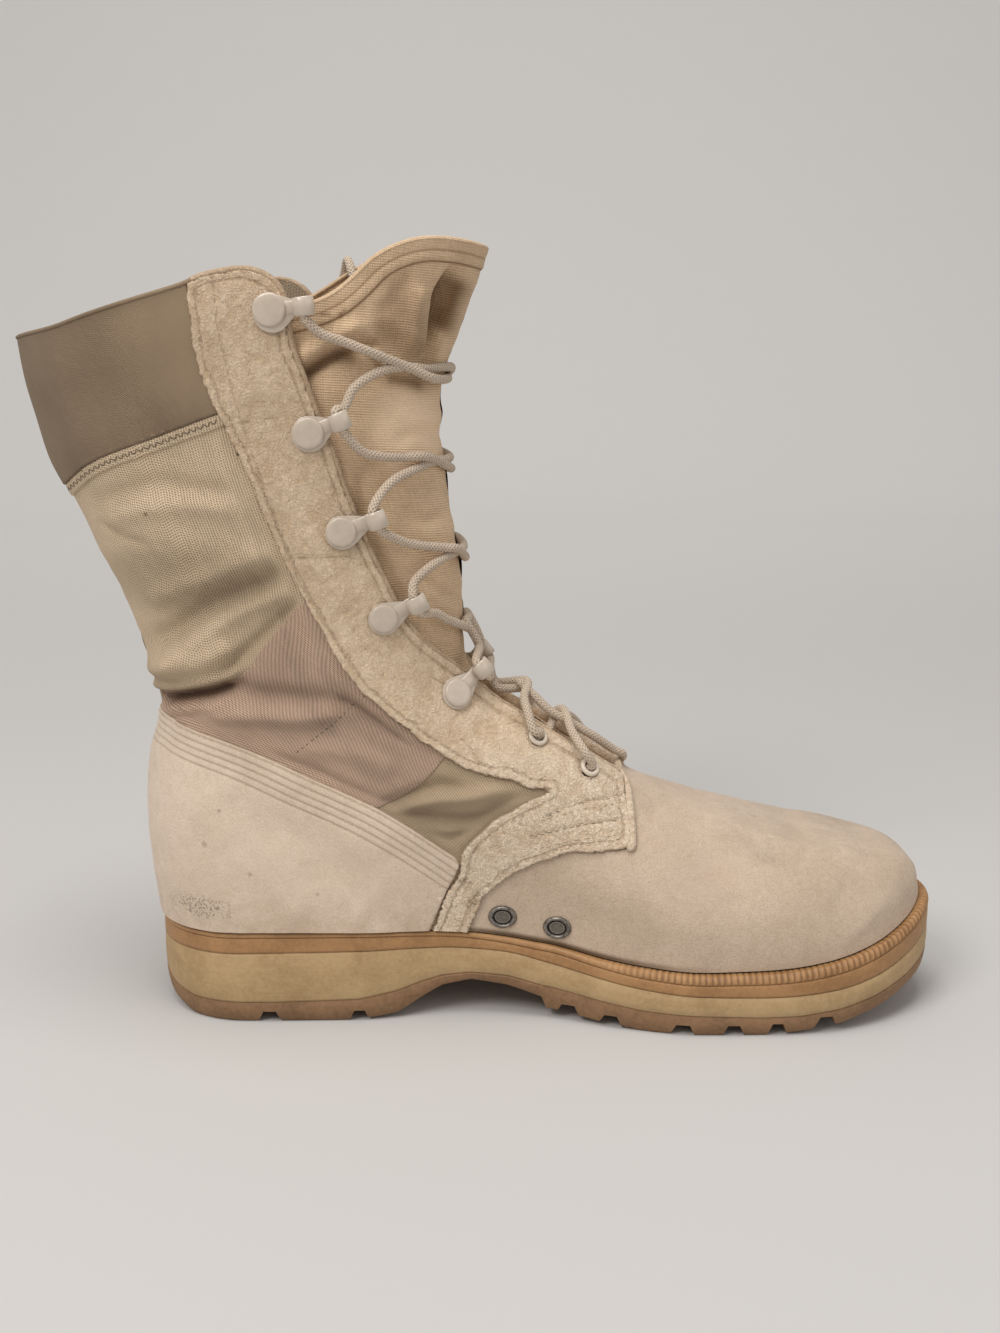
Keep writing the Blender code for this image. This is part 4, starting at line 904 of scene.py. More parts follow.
def vamp_marks(f, colour):
    """Greyed and rubbed places on the vamp, and a painted shadow line where it meets the welt, darkest at the
    waist.
    """
    blotch = f.ramp(f.noise(0.011, 4, 0.62, warp=0.8), 0.36, 0.62)
    for x, z, wide, tall, share in (
        (272, 66, 17, 7, 0.45), (238, 66, 16, 7, 0.30), (224, 72, 13, 5, 0.26),
        (208, 60, 16, 8, 0.12), (188, 82, 16, 5, 0.25),
    ):
        colour = f.tint(colour, f.spot(x, z, wide, tall) * blotch * share, (0.66, 0.68, 0.68))
    # Painted shadow along the foot of the upper where it meets the welt: broad at the waist, a thin line
    # elsewhere.
    waist_gap_shadow = f.spot(160, 33, 72, 16)
    colour = f.tint(colour, f.ramp(f.field("low"), 5.2 * MM, 3.0 * MM) * waist_gap_shadow, (0.20, 0.15, 0.10))
    colour = f.tint(colour, f.ramp(f.field("low"), 3.0 * MM, 2.1 * MM) * 0.35, (0.5, 0.42, 0.34))
    return f.mix(f.spot(212, 58, 18, 9) * 0.28, colour, (0.62, 0.47, 0.37))


def strap_marks(f, colour):
    for x, z in ((121, 55), (126, 49), (123, 46.5)):
        speck = f.ramp(f.noise(0.0012, 2, 0.6), 0.42, 0.58)
        colour = f.tint(colour, f.spot(x, z, 3.4, 2.6) * speck * 0.8, (0.36, 0.31, 0.25))
    return colour


def canvas_marks(f, colour):
    """A small stain, a painted shadow across the middle, darker towards the bottom, and painted shade in the
    folds.
    """
    colour = f.tint(colour, f.spot(9, 194, 1.1, 1.1) * 0.7, (0.35, 0.28, 0.22))
    # Painted shadow across the middle of the canvas.
    colour = f.tint(colour, f.spot(22, 170, 42, 17) * 0.75, (0.55, 0.53, 0.50))
    colour = f.tint(colour, f.ramp(f.axis(2), 0.150, 0.120) * 0.5, (0.62, 0.58, 0.53))
    # Painted shade in the deep folds.
    return f.tint(colour, f.field("fold"), (0.30, 0.24, 0.18))


def band_marks(f, colour):
    """Collar band painted paler near the eyestay and along its top where the light falls, with random paler
    mottling.
    """
    # Painted light: paler near the eyestay and along the top of the band.
    colour = f.mix(f.spot(38, 258, 44, 36) * 0.75, colour, (0.400, 0.290, 0.188))
    return f.tint(colour, f.ramp(f.noise(0.02, 3, 0.6, warp=0.4), 0.5, 0.3) * 0.2, (0.8, 0.76, 0.70))


def patch_fold_shade(f, colour):
    # Painted shade in the deep folds of the patch.
    return f.tint(colour, f.field("fold"), (0.34, 0.26, 0.21))


def tongue_marks(f, colour):
    """Stitched hem of the tongue, painted shade in its folds and a painted pool of light on its middle."""
    hem = f.field("hem")
    stitched = f.ramp(f.math("ABSOLUTE", hem - HEM_STITCH), 0.0, 0.7 * MM, 0.6, 0.0)
    step = f.ramp(f.math("ABSOLUTE", hem - HEM_WIDTH), 0.0, 0.8 * MM, 0.85, 0.0)
    colour = f.tint(colour, stitched, (0.45, 0.36, 0.28))
    colour = f.tint(colour, step, (0.36, 0.28, 0.21))
    # Painted light: a paler pool on the middle of the tongue.
    colour = f.mix(f.spot(101, 222, 17, 20) * 0.8, colour, (0.94, 0.71, 0.49))
    colour = f.tint(colour, f.ramp(hem, HEM_WIDTH, HEM_WIDTH - 0.6 * MM) * 0.12, (0.72, 0.70, 0.72))
    # Painted shade in the tongue's folds.
    return f.tint(colour, f.field("fold"), (0.28, 0.21, 0.15))


SUEDE_COUNTER = suede(
    "counter_suede", (0.775, 0.640, 0.520), (0.655, 0.530, 0.415), 0.9, COUNTER_ROWS, counter_marks
)
SUEDE_VAMP = suede("vamp_suede", (0.640, 0.512, 0.400), (0.530, 0.415, 0.312), 1.1, (), vamp_marks)
SUEDE_STAY = suede(
    "eyestay_suede", (0.980, 0.795, 0.590), (0.880, 0.700, 0.510), 0.8, (STAY_ROW,), strap_marks, pebble=1.0
)
CANVAS = woven(
    "canvas", (0.740, 0.575, 0.400), (0.375, 0.272, 0.172), 1.0, marks=canvas_marks, streak=0.30,
    weave=1.6, strength=1.0,
)
BAND_CLOTH = woven(
    "collar_cloth", (0.285, 0.205, 0.134), (0.200, 0.140, 0.089), 0.62, 0.9, streak=0.35, lumps=0.4,
    marks=band_marks,
)
PATCH_CLOTH = woven(
    "ankle_twill", (0.720, 0.508, 0.372), (0.190, 0.120, 0.083), 1.05, 0.8, streak=0.65, weave=2.4,
    strength=1.0, marks=patch_fold_shade,
)
TONGUE_CLOTH = woven(
    "tongue_cloth", (0.800, 0.582, 0.382), (0.500, 0.350, 0.214), 0.85, streak=0.4, ribbed=0.55,
    weave=0.35, marks=tongue_marks,
)
LINING = woven("lining_cloth", (0.340, 0.265, 0.185), (0.220, 0.165, 0.110), 1.1)
PIPING = woven("piping_cloth", (0.380, 0.285, 0.190), (0.230, 0.168, 0.108), 0.7)


def plain(name, colour, rough, **constants):
    f = Finish(name)
    fine = f.noise(0.0006, 2, 0.6)
    deep, pale = tuple(c * 0.82 for c in colour), tuple(min(c * 1.12, 1) for c in colour)
    shade = f.mix(f.ramp(fine, 0.3, 0.7), deep, pale)
    rough = f.ramp(fine, 0.3, 0.7, rough - 0.05, rough + 0.05)
    return f.finish(shade, rough, [(fine, 0.15, 0.0003)], **constants)


THREAD = plain("sewing_thread", (0.54, 0.425, 0.305), 0.7)
DARK_THREAD = plain("dark_thread", (0.16, 0.115, 0.075), 0.75)


def enamel(name, pale, deep):
    """Painted metal of the hooks and eyelets, a little chipped here and there."""
    f = Finish(name)
    broad = f.noise(0.004, 3, 0.6)
    colour = f.mix(f.ramp(broad, 0.35, 0.65), deep, pale)
    chip = f.ramp(f.noise(0.0011, 3, 0.6), 0.70, 0.76)
    colour = f.mix(chip * 0.3, colour, (0.30, 0.25, 0.19))
    rough = f.ramp(broad, 0.3, 0.7, 0.17, 0.26)
    return f.finish(colour, rough, [(broad, 0.04, 0.0003)], Specular_IOR_Level=0.7)


def vent_steel():
    f = Finish("vent_metal")
    wear = f.noise(0.0012, 3, 0.6)
    colour = f.mix(f.ramp(wear, 0.35, 0.65), (0.120, 0.106, 0.092), (0.270, 0.245, 0.215))
    colour = f.mix(f.field("inner") * 0.85, colour, (0.250, 0.222, 0.188))
    return f.finish(colour, f.ramp(wear, 0.3, 0.7, 0.30, 0.46), [(wear, 0.15, 0.0003)], Metallic=0.7)


def braid():
    """Round braided lace: strands crossing in a diamond pattern."""
    f = Finish("lace_cord")
    along, turn = f.field("along"), f.field("turn")
    one = f.sine(along + turn * 0.9 * MM, 1.5 * MM)
    two = f.sine(along - turn * 0.9 * MM, 1.5 * MM)
    over = f.math("MAXIMUM", one, two) * 0.5 + 0.5
    fuzz = f.noise(0.0005, 2, 0.7)
    grime = f.noise(0.012, 3, 0.6)
    share = over * 0.55 + fuzz * 0.35 + grime * 0.35
    colour = f.mix(f.ramp(share, 0.25, 0.95), (0.340, 0.262, 0.196), (0.660, 0.535, 0.415))
    bumps = [(over + fuzz * 0.4, 0.8, 0.0005)]
    return f.finish(colour, 0.85, bumps, Sheen_Weight=0.1, Specular_IOR_Level=0.25)


ENAMEL = enamel("hook_enamel", (0.570, 0.478, 0.388), (0.520, 0.436, 0.352))
EYELET_ENAMEL = enamel("eyelet_enamel", (0.740, 0.640, 0.530), (0.680, 0.580, 0.475))
VENT_METAL = vent_steel()
LACE = braid()


def welt_marks(f, colour):
    return f.tint(colour, f.field("rib") * 0.75, (0.42, 0.36, 0.30))


def tread_marks(f, colour):
    low = f.ramp(f.axis(2), 0.006, 0.0)
    return f.tint(colour, low * 0.35, (0.6, 0.56, 0.52))


MIDSOLE = rubber("midsole_rubber", rgb("B0865A"), rgb("966E47"), 0.6, 0.5, 0.5)
CUSHION_FOAM = rubber("cushion_foam", rgb("BA9E76"), rgb("A4875F"), 0.8, 0.62, 0.8)
TREAD_RUBBER = rubber("tread_rubber", rgb("957354"), rgb("775A3E"), 1.0, 0.6, 0.3, marks=tread_marks)
WELT_RUBBER = rubber("welt_rubber", rgb("B58B60"), rgb("9A724A"), 0.8, 0.5, 0.3, marks=welt_marks)
INSOLE_FELT = plain("insole_felt", (0.32, 0.26, 0.19), 0.95)

# Upper: the vamp and the canvas are the base skin, the rest is sewn over them.
OPEN = {side: -outline_depth(*PLACES[side], OPENING) for side in NETS}
BORED = {side: np.minimum(OPEN[side], holes_depth(*PLACES[side], side)) for side in NETS}


# Deep folds darkened with painted shade: share, half breadth, then the line in millimetres.
SHADED = (
    (0.92, 2.7, (1, 120.0), (7, 121.8), (18, 125), (29, 128.2), (38, 132), (42, 137)),
    (0.24, 5.5, (38, 131), (52, 130), (64, 128), (76, 125), (92, 115)),
    (0.10, 3.5, (48, 104), (64, 99), (78, 92), (89, 87)),
    (0.32, 3.4, (94, 85), (112, 80.5), (127, 80.5), (143, 87)),
    (0.22, 3.0, (90, 85), (101, 90), (112, 93), (123, 91)),
    (0.28, 5.0, (59, 172), (46, 167), (32, 162), (20, 153), (6, 144)),
    (0.30, 4.5, (60, 163), (52, 154), (42, 145), (30, 137)),
)
# Painted shade on the tongue, with the same columns: beside its crease, under its folds, the lace and the
# eyestay, and darker patches on its middle.
TONGUE_SHADED = (
    (0.95, 1.9, (121, 278), (117.5, 273.5), (114.8, 268), (113.6, 261), (112.5, 250)),
    (1.00, 4.6, (124, 276), (119.5, 268.5), (116.5, 261), (115, 254)),
    (0.90, 3.2, (64, 239), (71, 245), (79, 248.5), (87, 247)),
    (0.60, 1.0, (80, 252), (87, 250), (93.6, 244), (97, 239)),
    (0.75, 0.45, (71.6, 261.4), (74, 262.4), (77, 261.8), (79.5, 262.2), (82.2, 264.3)),
    (0.66, 6.0, (90, 262), (99, 256), (107, 251), (111, 246)),
    (0.80, 2.4, (94, 241), (102, 239.5), (110, 237)),
    (0.50, 9.0, (94, 270), (103, 262), (109, 250)),
    (0.45, 3.0, (88, 215), (84, 200), (92, 178), (103, 156)),
)


def seat_gap(table):
    """Height over the welt, for the painted shadow line where the upper meets it."""
    return table[:, 9] - level(SEAT, table[:, 8]) + 2 * MM


# Painted shade, from 0 to 1, along the deep fold lines of a table.
def fold_shade(table, lines=SHADED):
    shift = np.where(table[:, 1] > 0, 1.0, 0.0)
    x, z = table[:, 8] - shift * 2.5 * MM, table[:, 9] - shift * 0.5 * MM
    total = np.zeros(len(table))
    for share, breadth, *spots in lines:
        path = smooth_path(np.array(spots, float) * MM, 20)
        away, along, _ = path_distance(x, z, path)
        ends = smoothstep(np.minimum(along, 1 - along), -0.05, 0.22)
        total = np.maximum(total, share * ends * np.exp(-((away / (breadth * MM)) ** 2)))
    return total


def base_skin(name, keep, finish, slot, lift):
    parts = []
    for side in NETS:
        table, faces = cut_panel(side, BORED[side], (0.0,))
        inside = keep(table[faces][:, :, 8].mean(1), table[faces][:, :, 9].mean(1))
        table, faces = compact(table, faces[inside])
        table = table.copy()
        table[:, :3] += table[:, 3:6] * lift
        parts.append((table, faces))
    table, faces = joined(parts)
    marks = {"run": table[:, 6], "climb": table[:, 7], "edge": table[:, -1]}
    marks.update({"fold": fold_shade(table), "low": seat_gap(table)})
    return make_piece(name, table[:, :3], faces, finish, slot, marks)


outline = vamp_outline()
vamp = base_skin("vamp", lambda x, z: outline_depth(x, z, outline) > 0, SUEDE_VAMP, "suede_leather", 0.0002)
quarters = base_skin("canvas_quarters", lambda x, z: outline_depth(x, z, outline) <= 0, CANVAS, "canvas", 0.0)
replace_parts(quarters, "upper")
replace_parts(vamp, "upper")


def lining():
    """Inside of the upper, facing in."""
    parts = []
    for side in NETS:
        table, faces = cut_panel(side, OPEN[side], (0.0,))
        table = table.copy()
        table[:, :3] -= table[:, 3:6] * WALL
        parts.append((table, faces[:, ::-1]))
    table, faces = joined(parts)
    marks = {"run": table[:, 6], "climb": table[:, 7]}
    return make_piece("lining", table[:, :3], faces, LINING, "canvas", marks)


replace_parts(lining(), "upper")


def rough_edge(x, z, amount, seed):
    waves = ((13 * MM, 0.7), (3.4 * MM, 0.35), (1.5 * MM, 0.5))
    return sum(waver(x, z, size, seed + n) * amount * share for n, (size, share) in enumerate(waves))


def depths(outline, amount=0.0, seed=0, sides=(MEDIAL, LATERAL)):
    out = {}
    for side in sides:
        x, z = PLACES[side]
        depth = outline_depth(x, z, outline)
        if amount:
            depth = depth + rough_edge(x, z, amount * MM, seed + side)
        depth = np.minimum(depth, OPEN[side] + 0.05 * MM)
        if outline is STAY_OUTLINE:
            depth = np.minimum(depth, holes_depth(x, z, side) * 4)
        out[side] = depth
    return out


def counter_relief(x, z, depth, side):
    """Pressed binding along the counter's top and its rows."""
    away = path_distance(x, z, COUNTER_EDGE)[0]
    padded = smoothstep(away, 0.5 * MM, 2.2 * MM) * 0.35 * MM
    rows = sum(np.exp(-(((away - row * MM) / (0.55 * MM)) ** 2)) for row in COUNTER_ROWS)
    return padded - rows * 0.16 * MM + waver(x, z, 14 * MM, 50 + side) * 0.12 * MM


def stay_relief(x, z, depth, side):
    """Lumpy nap of the eyestay, with its pressed seam rows."""
    lumps = waver(x, z, 5 * MM, 60 + side) * 0.16 + waver(x, z, 2.6 * MM, 61 + side) * 0.09
    away = path_distance(x, z, THROAT)[0]
    roll = np.exp(-(((away - 1.4 * MM) / (1.3 * MM)) ** 2)) * 0.45
    press = -np.exp(-(((away - 3.4 * MM) / (0.7 * MM)) ** 2)) * 0.3
    rows = -np.exp(-(((depth - STAY_ROW * MM) / (0.7 * MM)) ** 2)) * 0.22
    joins = [path_distance(x, z, smooth_path(np.array(line) * MM, 10))[0] for line in JOINS]
    joins = -np.exp(-((np.min(joins, axis=0) / (0.8 * MM)) ** 2)) * 0.4
    return (lumps + roll + press + rows + joins) * MM * smoothstep(depth, 0.2 * MM, 1.2 * MM)


def counter_sew(table):
    return path_distance(table[:, 8], table[:, 9], COUNTER_EDGE)[0]


JOINS = (
    ((36, 224), (45, 226), (60, 228.5)),
    ((56, 177), (66, 179), (80, 179)),
    (
        (37, 275), (38, 257.4), (42, 237), (46.2, 220), (52, 202), (57.4, 184.5), (63.7, 167),
        (72.6, 152), (80, 141),
    ),
    ((127, 99), (123.5, 104), (119, 109)),
    ((108, 132), (114, 128), (119, 126)),
    ((150, 80), (163, 83.5), (181, 84.2)),
    ((146, 73.5), (163, 76.5), (181, 77)),
)


def stay_join(table):
    paths = [smooth_path(np.array(line) * MM, 10) for line in JOINS]
    return np.min([path_distance(table[:, 8], table[:, 9], path)[0] for path in paths], axis=0)


patch = sewn_panel(
    "ankle_patch", depths(patch_outline(), 0.12, 5), PATCH_THICK, PATCH_CLOTH, "canvas", 0.35 * MM, None,
    {"fold": fold_shade},
)
strip = sewn_panel("band_strip", depths(strip_outline(), 0.1, 6), 0.75 * MM, CANVAS, "canvas", 0.5 * MM)
counter = sewn_panel(
    "heel_counter_suede", depths(COUNTER_OUTLINE, 0.12, 7), COUNTER_THICK, SUEDE_COUNTER, "suede_leather",
    0.8 * MM, counter_relief, {"edge": counter_sew},
)
band = sewn_panel(
    "collar_band_cloth", depths(band_outline(), 0.08, 8), BAND_THICK, BAND_CLOTH, "collar_cloth", 0.7 * MM
)
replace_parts(counter, "heel_counter")
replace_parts(band, "collar_band")
for side, word in ((MEDIAL, "medial"), (LATERAL, "lateral")):
    stay = sewn_panel(
        f"eyestay_{word}_suede", depths(STAY_OUTLINE, 0.5, 9, (side,)), STAY_THICK, SUEDE_STAY,
        "suede_leather", 0.8 * MM, stay_relief,
        {"join": stay_join},
    )
    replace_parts(stay, f"eyestay_{word}")
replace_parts(patch, "upper")
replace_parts(strip, "upper")


def boundary_path(table, faces):
    """Longest run of open edges that lie on the cut, as ordered rows of the table."""
    on_cut = np.abs(table[:, -1]) < 1e-7
    edges = np.vstack([faces[:, [0, 1]], faces[:, [1, 2]], faces[:, [2, 0]]])
    ordered = np.sort(edges, axis=1)
    keys, count = np.unique(ordered, axis=0, return_counts=True)
    open_edges = keys[count == 1]
    open_edges = open_edges[on_cut[open_edges].all(1)]
    links = {}
    for a, b in open_edges.tolist():
        links.setdefault(a, []).append(b)
        links.setdefault(b, []).append(a)
    best = []
    seen = set()
    starts = [k for k, v in links.items() if len(v) == 1] or list(links)[:1]
    for start in starts:
        if start in seen:
            continue
        walk, here, last = [start], start, None
        while True:
            seen.add(here)
            onward = [n for n in links[here] if n != last and n not in seen]
            if not onward:
                break
            last, here = here, onward[0]
            walk.append(here)
        if len(walk) > len(best):
            best = walk
    return table[best]


def evenly(rows, step, closed=False):
    """Rows resampled evenly by length over their first three columns."""
    if closed:
        rows = np.vstack([rows, rows[:1]])
    run = np.concatenate([[0], np.cumsum(np.linalg.norm(np.diff(rows[:, :3], axis=0), axis=1))])
    count = max(int(run[-1] / step), 4)
    at = np.linspace(0, run[-1], count + 1)
    out = np.column_stack([np.interp(at, run, rows[:, k]) for k in range(rows.shape[1])])
    return out[:-1] if closed else out


def softened(rows, times, closed=False):
    rows = rows.copy()
    for _ in range(times):
        if closed:
            rows = (np.roll(rows, 1, axis=0) + 2 * rows + np.roll(rows, -1, axis=0)) / 4
        else:
            rows[1:-1] = (rows[:-2] + 2 * rows[1:-1] + rows[2:]) / 4
    return rows


def opening_path():
    """The whole edge of the opening, as points with normals, once round the boot."""
    halves = []
    for side in (MEDIAL, LATERAL):
        table, faces = cut_panel(side, OPEN[side], (0.0,))
        path = boundary_path(table, faces)
        if path[0, 0] > path[-1, 0]:
            path = path[::-1]
        halves.append(path[:, :6])
    ring = np.vstack([halves[0], halves[1][::-1][1:-1]])
    ring = softened(evenly(ring, 1.0 * MM, True), 3, True)
    ring[:, 3:6] /= np.linalg.norm(ring[:, 3:6], axis=1)[:, None]
    return ring


def swept(path, profile):
    """Faces and points of a profile of (aside, out) offsets swept along points with normals."""
    points, normal = path[:, :3], path[:, 3:6]
    run = np.gradient(points, axis=0)
    run /= np.linalg.norm(run, axis=1)[:, None]
    aside = np.cross(normal, run)
    aside /= np.linalg.norm(aside, axis=1)[:, None]
    profile = np.asarray(profile, float)
    if profile.ndim == 2:
        profile = np.repeat(profile[None], len(points), axis=0)
    rings = points[:, None] + aside[:, None] * profile[:, :, :1] + normal[:, None] * profile[:, :, 1:]
    many, sides = profile.shape[:2]
    faces = []
    for i in range(many - 1):
        j = i + 1
        for k in range(sides):
            m = (k + 1) % sides
            faces.append((i * sides + k, i * sides + m, j * sides + m, j * sides + k))
    faces.append(tuple(range(sides))[::-1])
    faces.append(tuple((many - 1) * sides + k for k in range(sides)))
    return rings.reshape(-1, 3), faces


def merged(parts):
    points, faces, start = [], [], 0
    for some, more in parts:
        points.append(np.asarray(some))
        faces += [tuple(k + start for k in face) for face in more]
        start += len(some)
    return np.vstack(points), faces


def oval(wide, tall, steps=12, centre=(0, 0)):
    a = np.linspace(0, 2 * math.pi, steps, endpoint=False)
    return np.column_stack([centre[0] + wide * np.cos(a), centre[1] + tall * np.sin(a)])


def bindings():
    """Rolled edge of the opening: band cloth round the collar, suede down both throats."""
    ring = opening_path()
    stay_start = stay_outer()[-1, 0] + 1.0 * MM
    fore = (ring[:, 0] > stay_start) & ((ring[:, 2] < 0.30) | (ring[:, 1] < 0))
    start = int(np.argmax(fore & ~np.roll(fore, 1)))
    ring = np.roll(ring, -start, axis=0)
    cut = int(fore.sum())
    for name, part, finish, slot, wide in (
        ("throat_binding", ring[:cut], SUEDE_STAY, "suede_leather", 1.25),
        ("collar_binding", np.vstack([ring[cut - 1 :], ring[:1]]), BAND_CLOTH, "collar_cloth", 1.0),
    ):
        points, faces = swept(part, oval(wide * MM, 2.05 * MM, 14, (0.1 * MM, -0.3 * MM)))
        run = np.repeat(np.arange(len(part)) * 1.0 * MM, 14)
        turn = np.tile(np.arange(14) * 0.7 * MM, len(part))
        marks = {"run": run, "climb": turn, "edge": np.full(len(run), 2 * MM)}
        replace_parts(make_piece(name, points, faces, finish, slot, marks), "upper")


bindings()


def tab_rolls():
    """Rolled binding down the front of each tab."""
    line = [(180.0, 91.5), (182.4, 87), (183.2, 80), (183.8, 73), (183.4, 69), (181.8, 67)]
    line = smooth_path(np.array(line) * MM, 60)
    parts = []
    for side in (MEDIAL, LATERAL):
        spots, normals = skin(line[:, 0], line[:, 1], side, 1.1 * MM)
        rows = evenly(np.column_stack([spots, normals]), 0.7 * MM)
        rows[:, 3:6] /= np.linalg.norm(rows[:, 3:6], axis=1)[:, None]
        share = np.linspace(0, 1, len(rows))
        swell = waver(share * 30 * MM, share * 0, 4 * MM, 5) * 0.14
        size = (0.9 + 0.6 * smoothstep(share, 0, 0.5) + swell) * MM
        size *= smoothstep(np.minimum(share, 1 - share), -0.03, 0.05)
        ring = oval(1.0, 1.0, 12)
        points, faces = swept(rows, ring[None] * size[:, None, None])
        parts.append((points, faces))
    points, faces = merged(parts)
    count = len(points)
    marks = {"run": np.arange(count) * 0.1 * MM, "climb": np.zeros(count)}
    marks.update({"edge": np.full(count, 2 * MM), "join": np.full(count, 9 * MM)})
    piece = make_piece("tab_binding", points, faces, SUEDE_STAY, "suede_leather", marks)
    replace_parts(piece, "upper")


def skin(x, z, side, lift=0.0):
    """Points of the upper at side-view places, with the normals there."""
    x, z = np.atleast_1d(x).astype(float), np.atleast_1d(z).astype(float)
    d = 4e-4
    spots = [(x, z), (x + d, z), (x - d, z), (x, z + d), (x, z - d)]
    y = [half_width(a, b, side) for a, b in spots]
    normal = np.column_stack([-(y[1] - y[2]) / (2 * d), np.full(len(x), side), -(y[3] - y[4]) / (2 * d)])
    normal /= np.linalg.norm(normal, axis=1)[:, None]
    rise_out = cloth_lift(x, z, side) + lift
    return np.column_stack([x, side * y[0], z]) + normal * rise_out[:, None], normal


def path_low(row):
    return row[2] < level(SEAT, row[0]) + 2.2 * MM


def stitch_row(path, side, lift, length=2.3, gap=0.9, radius=0.27, seed=1):
    """Short capsules along a side-view path, each lying on the surface."""
    points, normal = skin(path[:, 0], path[:, 1], side, lift)
    rows = evenly(np.column_stack([points, normal]), 0.2 * MM)
    pitch = (length + gap) * MM
    count = int(len(rows) * 0.2 * MM / pitch)
    dice = np.random.default_rng(seed)
    parts = []
    for i in range(count):
        a = int((i * pitch) / (0.2 * MM))
        b = min(a + int(length / 0.2), len(rows) - 1)
        if b - a < 4 or path_low(rows[a]) or path_low(rows[b]):
            continue
        start, end = rows[a], rows[b]
        parts.append(capsule(start, end, radius * MM * dice.uniform(0.9, 1.15)))
    return parts


def capsule(start, end, radius):
    """One stitch: a short thread that dips into the cloth at both ends."""
    run = end[:3] - start[:3]
    size = np.linalg.norm(run)
    run = run / size
    normal = start[3:6] + end[3:6]
    normal = normal - run * normal.dot(run)
    normal /= np.linalg.norm(normal)
    aside = np.cross(normal, run)
    rings = []
    for share, wide, lift in ((0.04, 0.55, -0.7), (0.28, 1.0, 0.25), (0.72, 1.0, 0.25), (0.96, 0.55, -0.7)):
        centre = start[:3] + run * size * share + normal * radius * lift
        for k in range(6):
            a = k * math.pi / 3
            rings.append(centre + (aside * math.cos(a) + normal * math.sin(a)) * radius * wide)
    tips = [start[:3] - normal * radius * 1.3, end[:3] - normal * radius * 1.3]
    faces = []
    for r in range(3):
        for k in range(6):
            m = (k + 1) % 6
            a, b, c, d = r * 6 + k, r * 6 + m, r * 6 + 6 + m, r * 6 + 6 + k
            faces += [(a, b, c), (a, c, d)]
    for k in range(6):
        m = (k + 1) % 6
        faces += [(24, m, k), (25, 18 + k, 18 + m)]
    return np.array(rings + tips), np.array(faces)


def trimmed(path, start, end):
    """The share of a path between two shares of its samples."""
    count = len(path)
    return path[int(start * (count - 1)) : int(math.ceil(end * (count - 1))) + 1]


def seams():
    """Every sewn row on the upper, as pale and dark thread."""
    pale, dark = [], []
    stay_top = 1.72 * MM
    outer = stay_outer()
    for side in (MEDIAL, LATERAL):
        for row in COUNTER_ROWS:
            path = beside(COUNTER_EDGE, -row * MM)
            inside = outline_depth(path[:, 0], path[:, 1], COUNTER_OUTLINE) > 1.0 * MM
            path = path[(path[:, 0] > 4 * MM) & inside]
            pale += stitch_row(path, side, 1.36 * MM, 2.0, 0.7, 0.2, int(row * 7))
        for amount in (1.2, 4.0):
            path = THROAT - THROAT_NORMAL * (amount + 0.5) * MM
            pale += stitch_row(trimmed(path, 0.27, 0.99), side, stay_top, 1.9, 0.7, 0.2, int(amount * 9))
        for amount in (2.6, 5.0):
            for edge, way, seed in ((STRAP_TOE_EDGE, -1, 5), (STRAP_HEEL_EDGE, 1, 6)):
                path = beside(edge, way * amount * MM)
                path = path[outline_depth(path[:, 0], path[:, 1], STAY_OUTLINE) > 1.0 * MM]
                pale += stitch_row(path, side, stay_top, 1.9, 0.7, 0.2, int(amount * seed))
        for amount in (4.0, 6.6):
            path = beside(STRAP_HEEL_EDGE, -amount * MM)
            path = path[path[:, 1] < 56 * MM]
            pale += stitch_row(path, side, 1.45 * MM, 2.0, 0.9, 0.24, int(amount * 8))
        for amount in (3.1, 10.6):
            path = outer + THROAT_NORMAL[-len(outer) :] * amount * MM
            path = trimmed(path, 0.06 if amount < 5 else 0.3, 0.99)
            pale += stitch_row(path, side, stay_top, 1.9, 0.7, 0.2, int(amount * 3))
        for high in (81.5, 76.5, 71.5):
            path = smooth_path(np.array([(146, high - 3.0), (163, high), (180, high + 0.6)]) * MM, 30)
            pale += stitch_row(path, side, stay_top + 0.1 * MM, 2.0, 0.8, 0.27, int(high))
        zig = beside(SEAM, -2.3 * MM)
        zig = evenly(np.column_stack([zig, np.zeros(len(zig))]), 1.25 * MM)[:, :2]
        swing = beside(zig, 1.0) - zig
        zig = zig + swing * (np.where(np.arange(len(zig)) % 2, 0.85, -0.85) * MM)[:, None]
        zig = zig[zig[:, 0] > np.interp(zig[:, 1], BACK[:, 1], BACK[:, 0]) + 1.5 * MM]
        zig = zig[outline_depth(zig[:, 0], zig[:, 1], STAY_OUTLINE) < -0.5 * MM]
        spots, normal = skin(zig[:, 0], zig[:, 1], side, 0.8 * MM)
        rows = np.column_stack([spots, normal])
        dark += [capsule(rows[i], rows[i + 1], 0.2 * MM) for i in range(len(rows) - 1)]
        path = smooth_path(np.array(PATCH_STITCH) * MM, 30)
        dark += stitch_row(path, side, PATCH_THICK, 1.6, 0.7, 0.18, 4)
    for name, parts, finish in (("seam_thread", pale, THREAD), ("zigzag_thread", dark, DARK_THREAD)):
        table, faces = joined(parts)
        make_piece(name, table, faces, finish, "suede_leather" if name == "seam_thread" else "canvas")


seams()


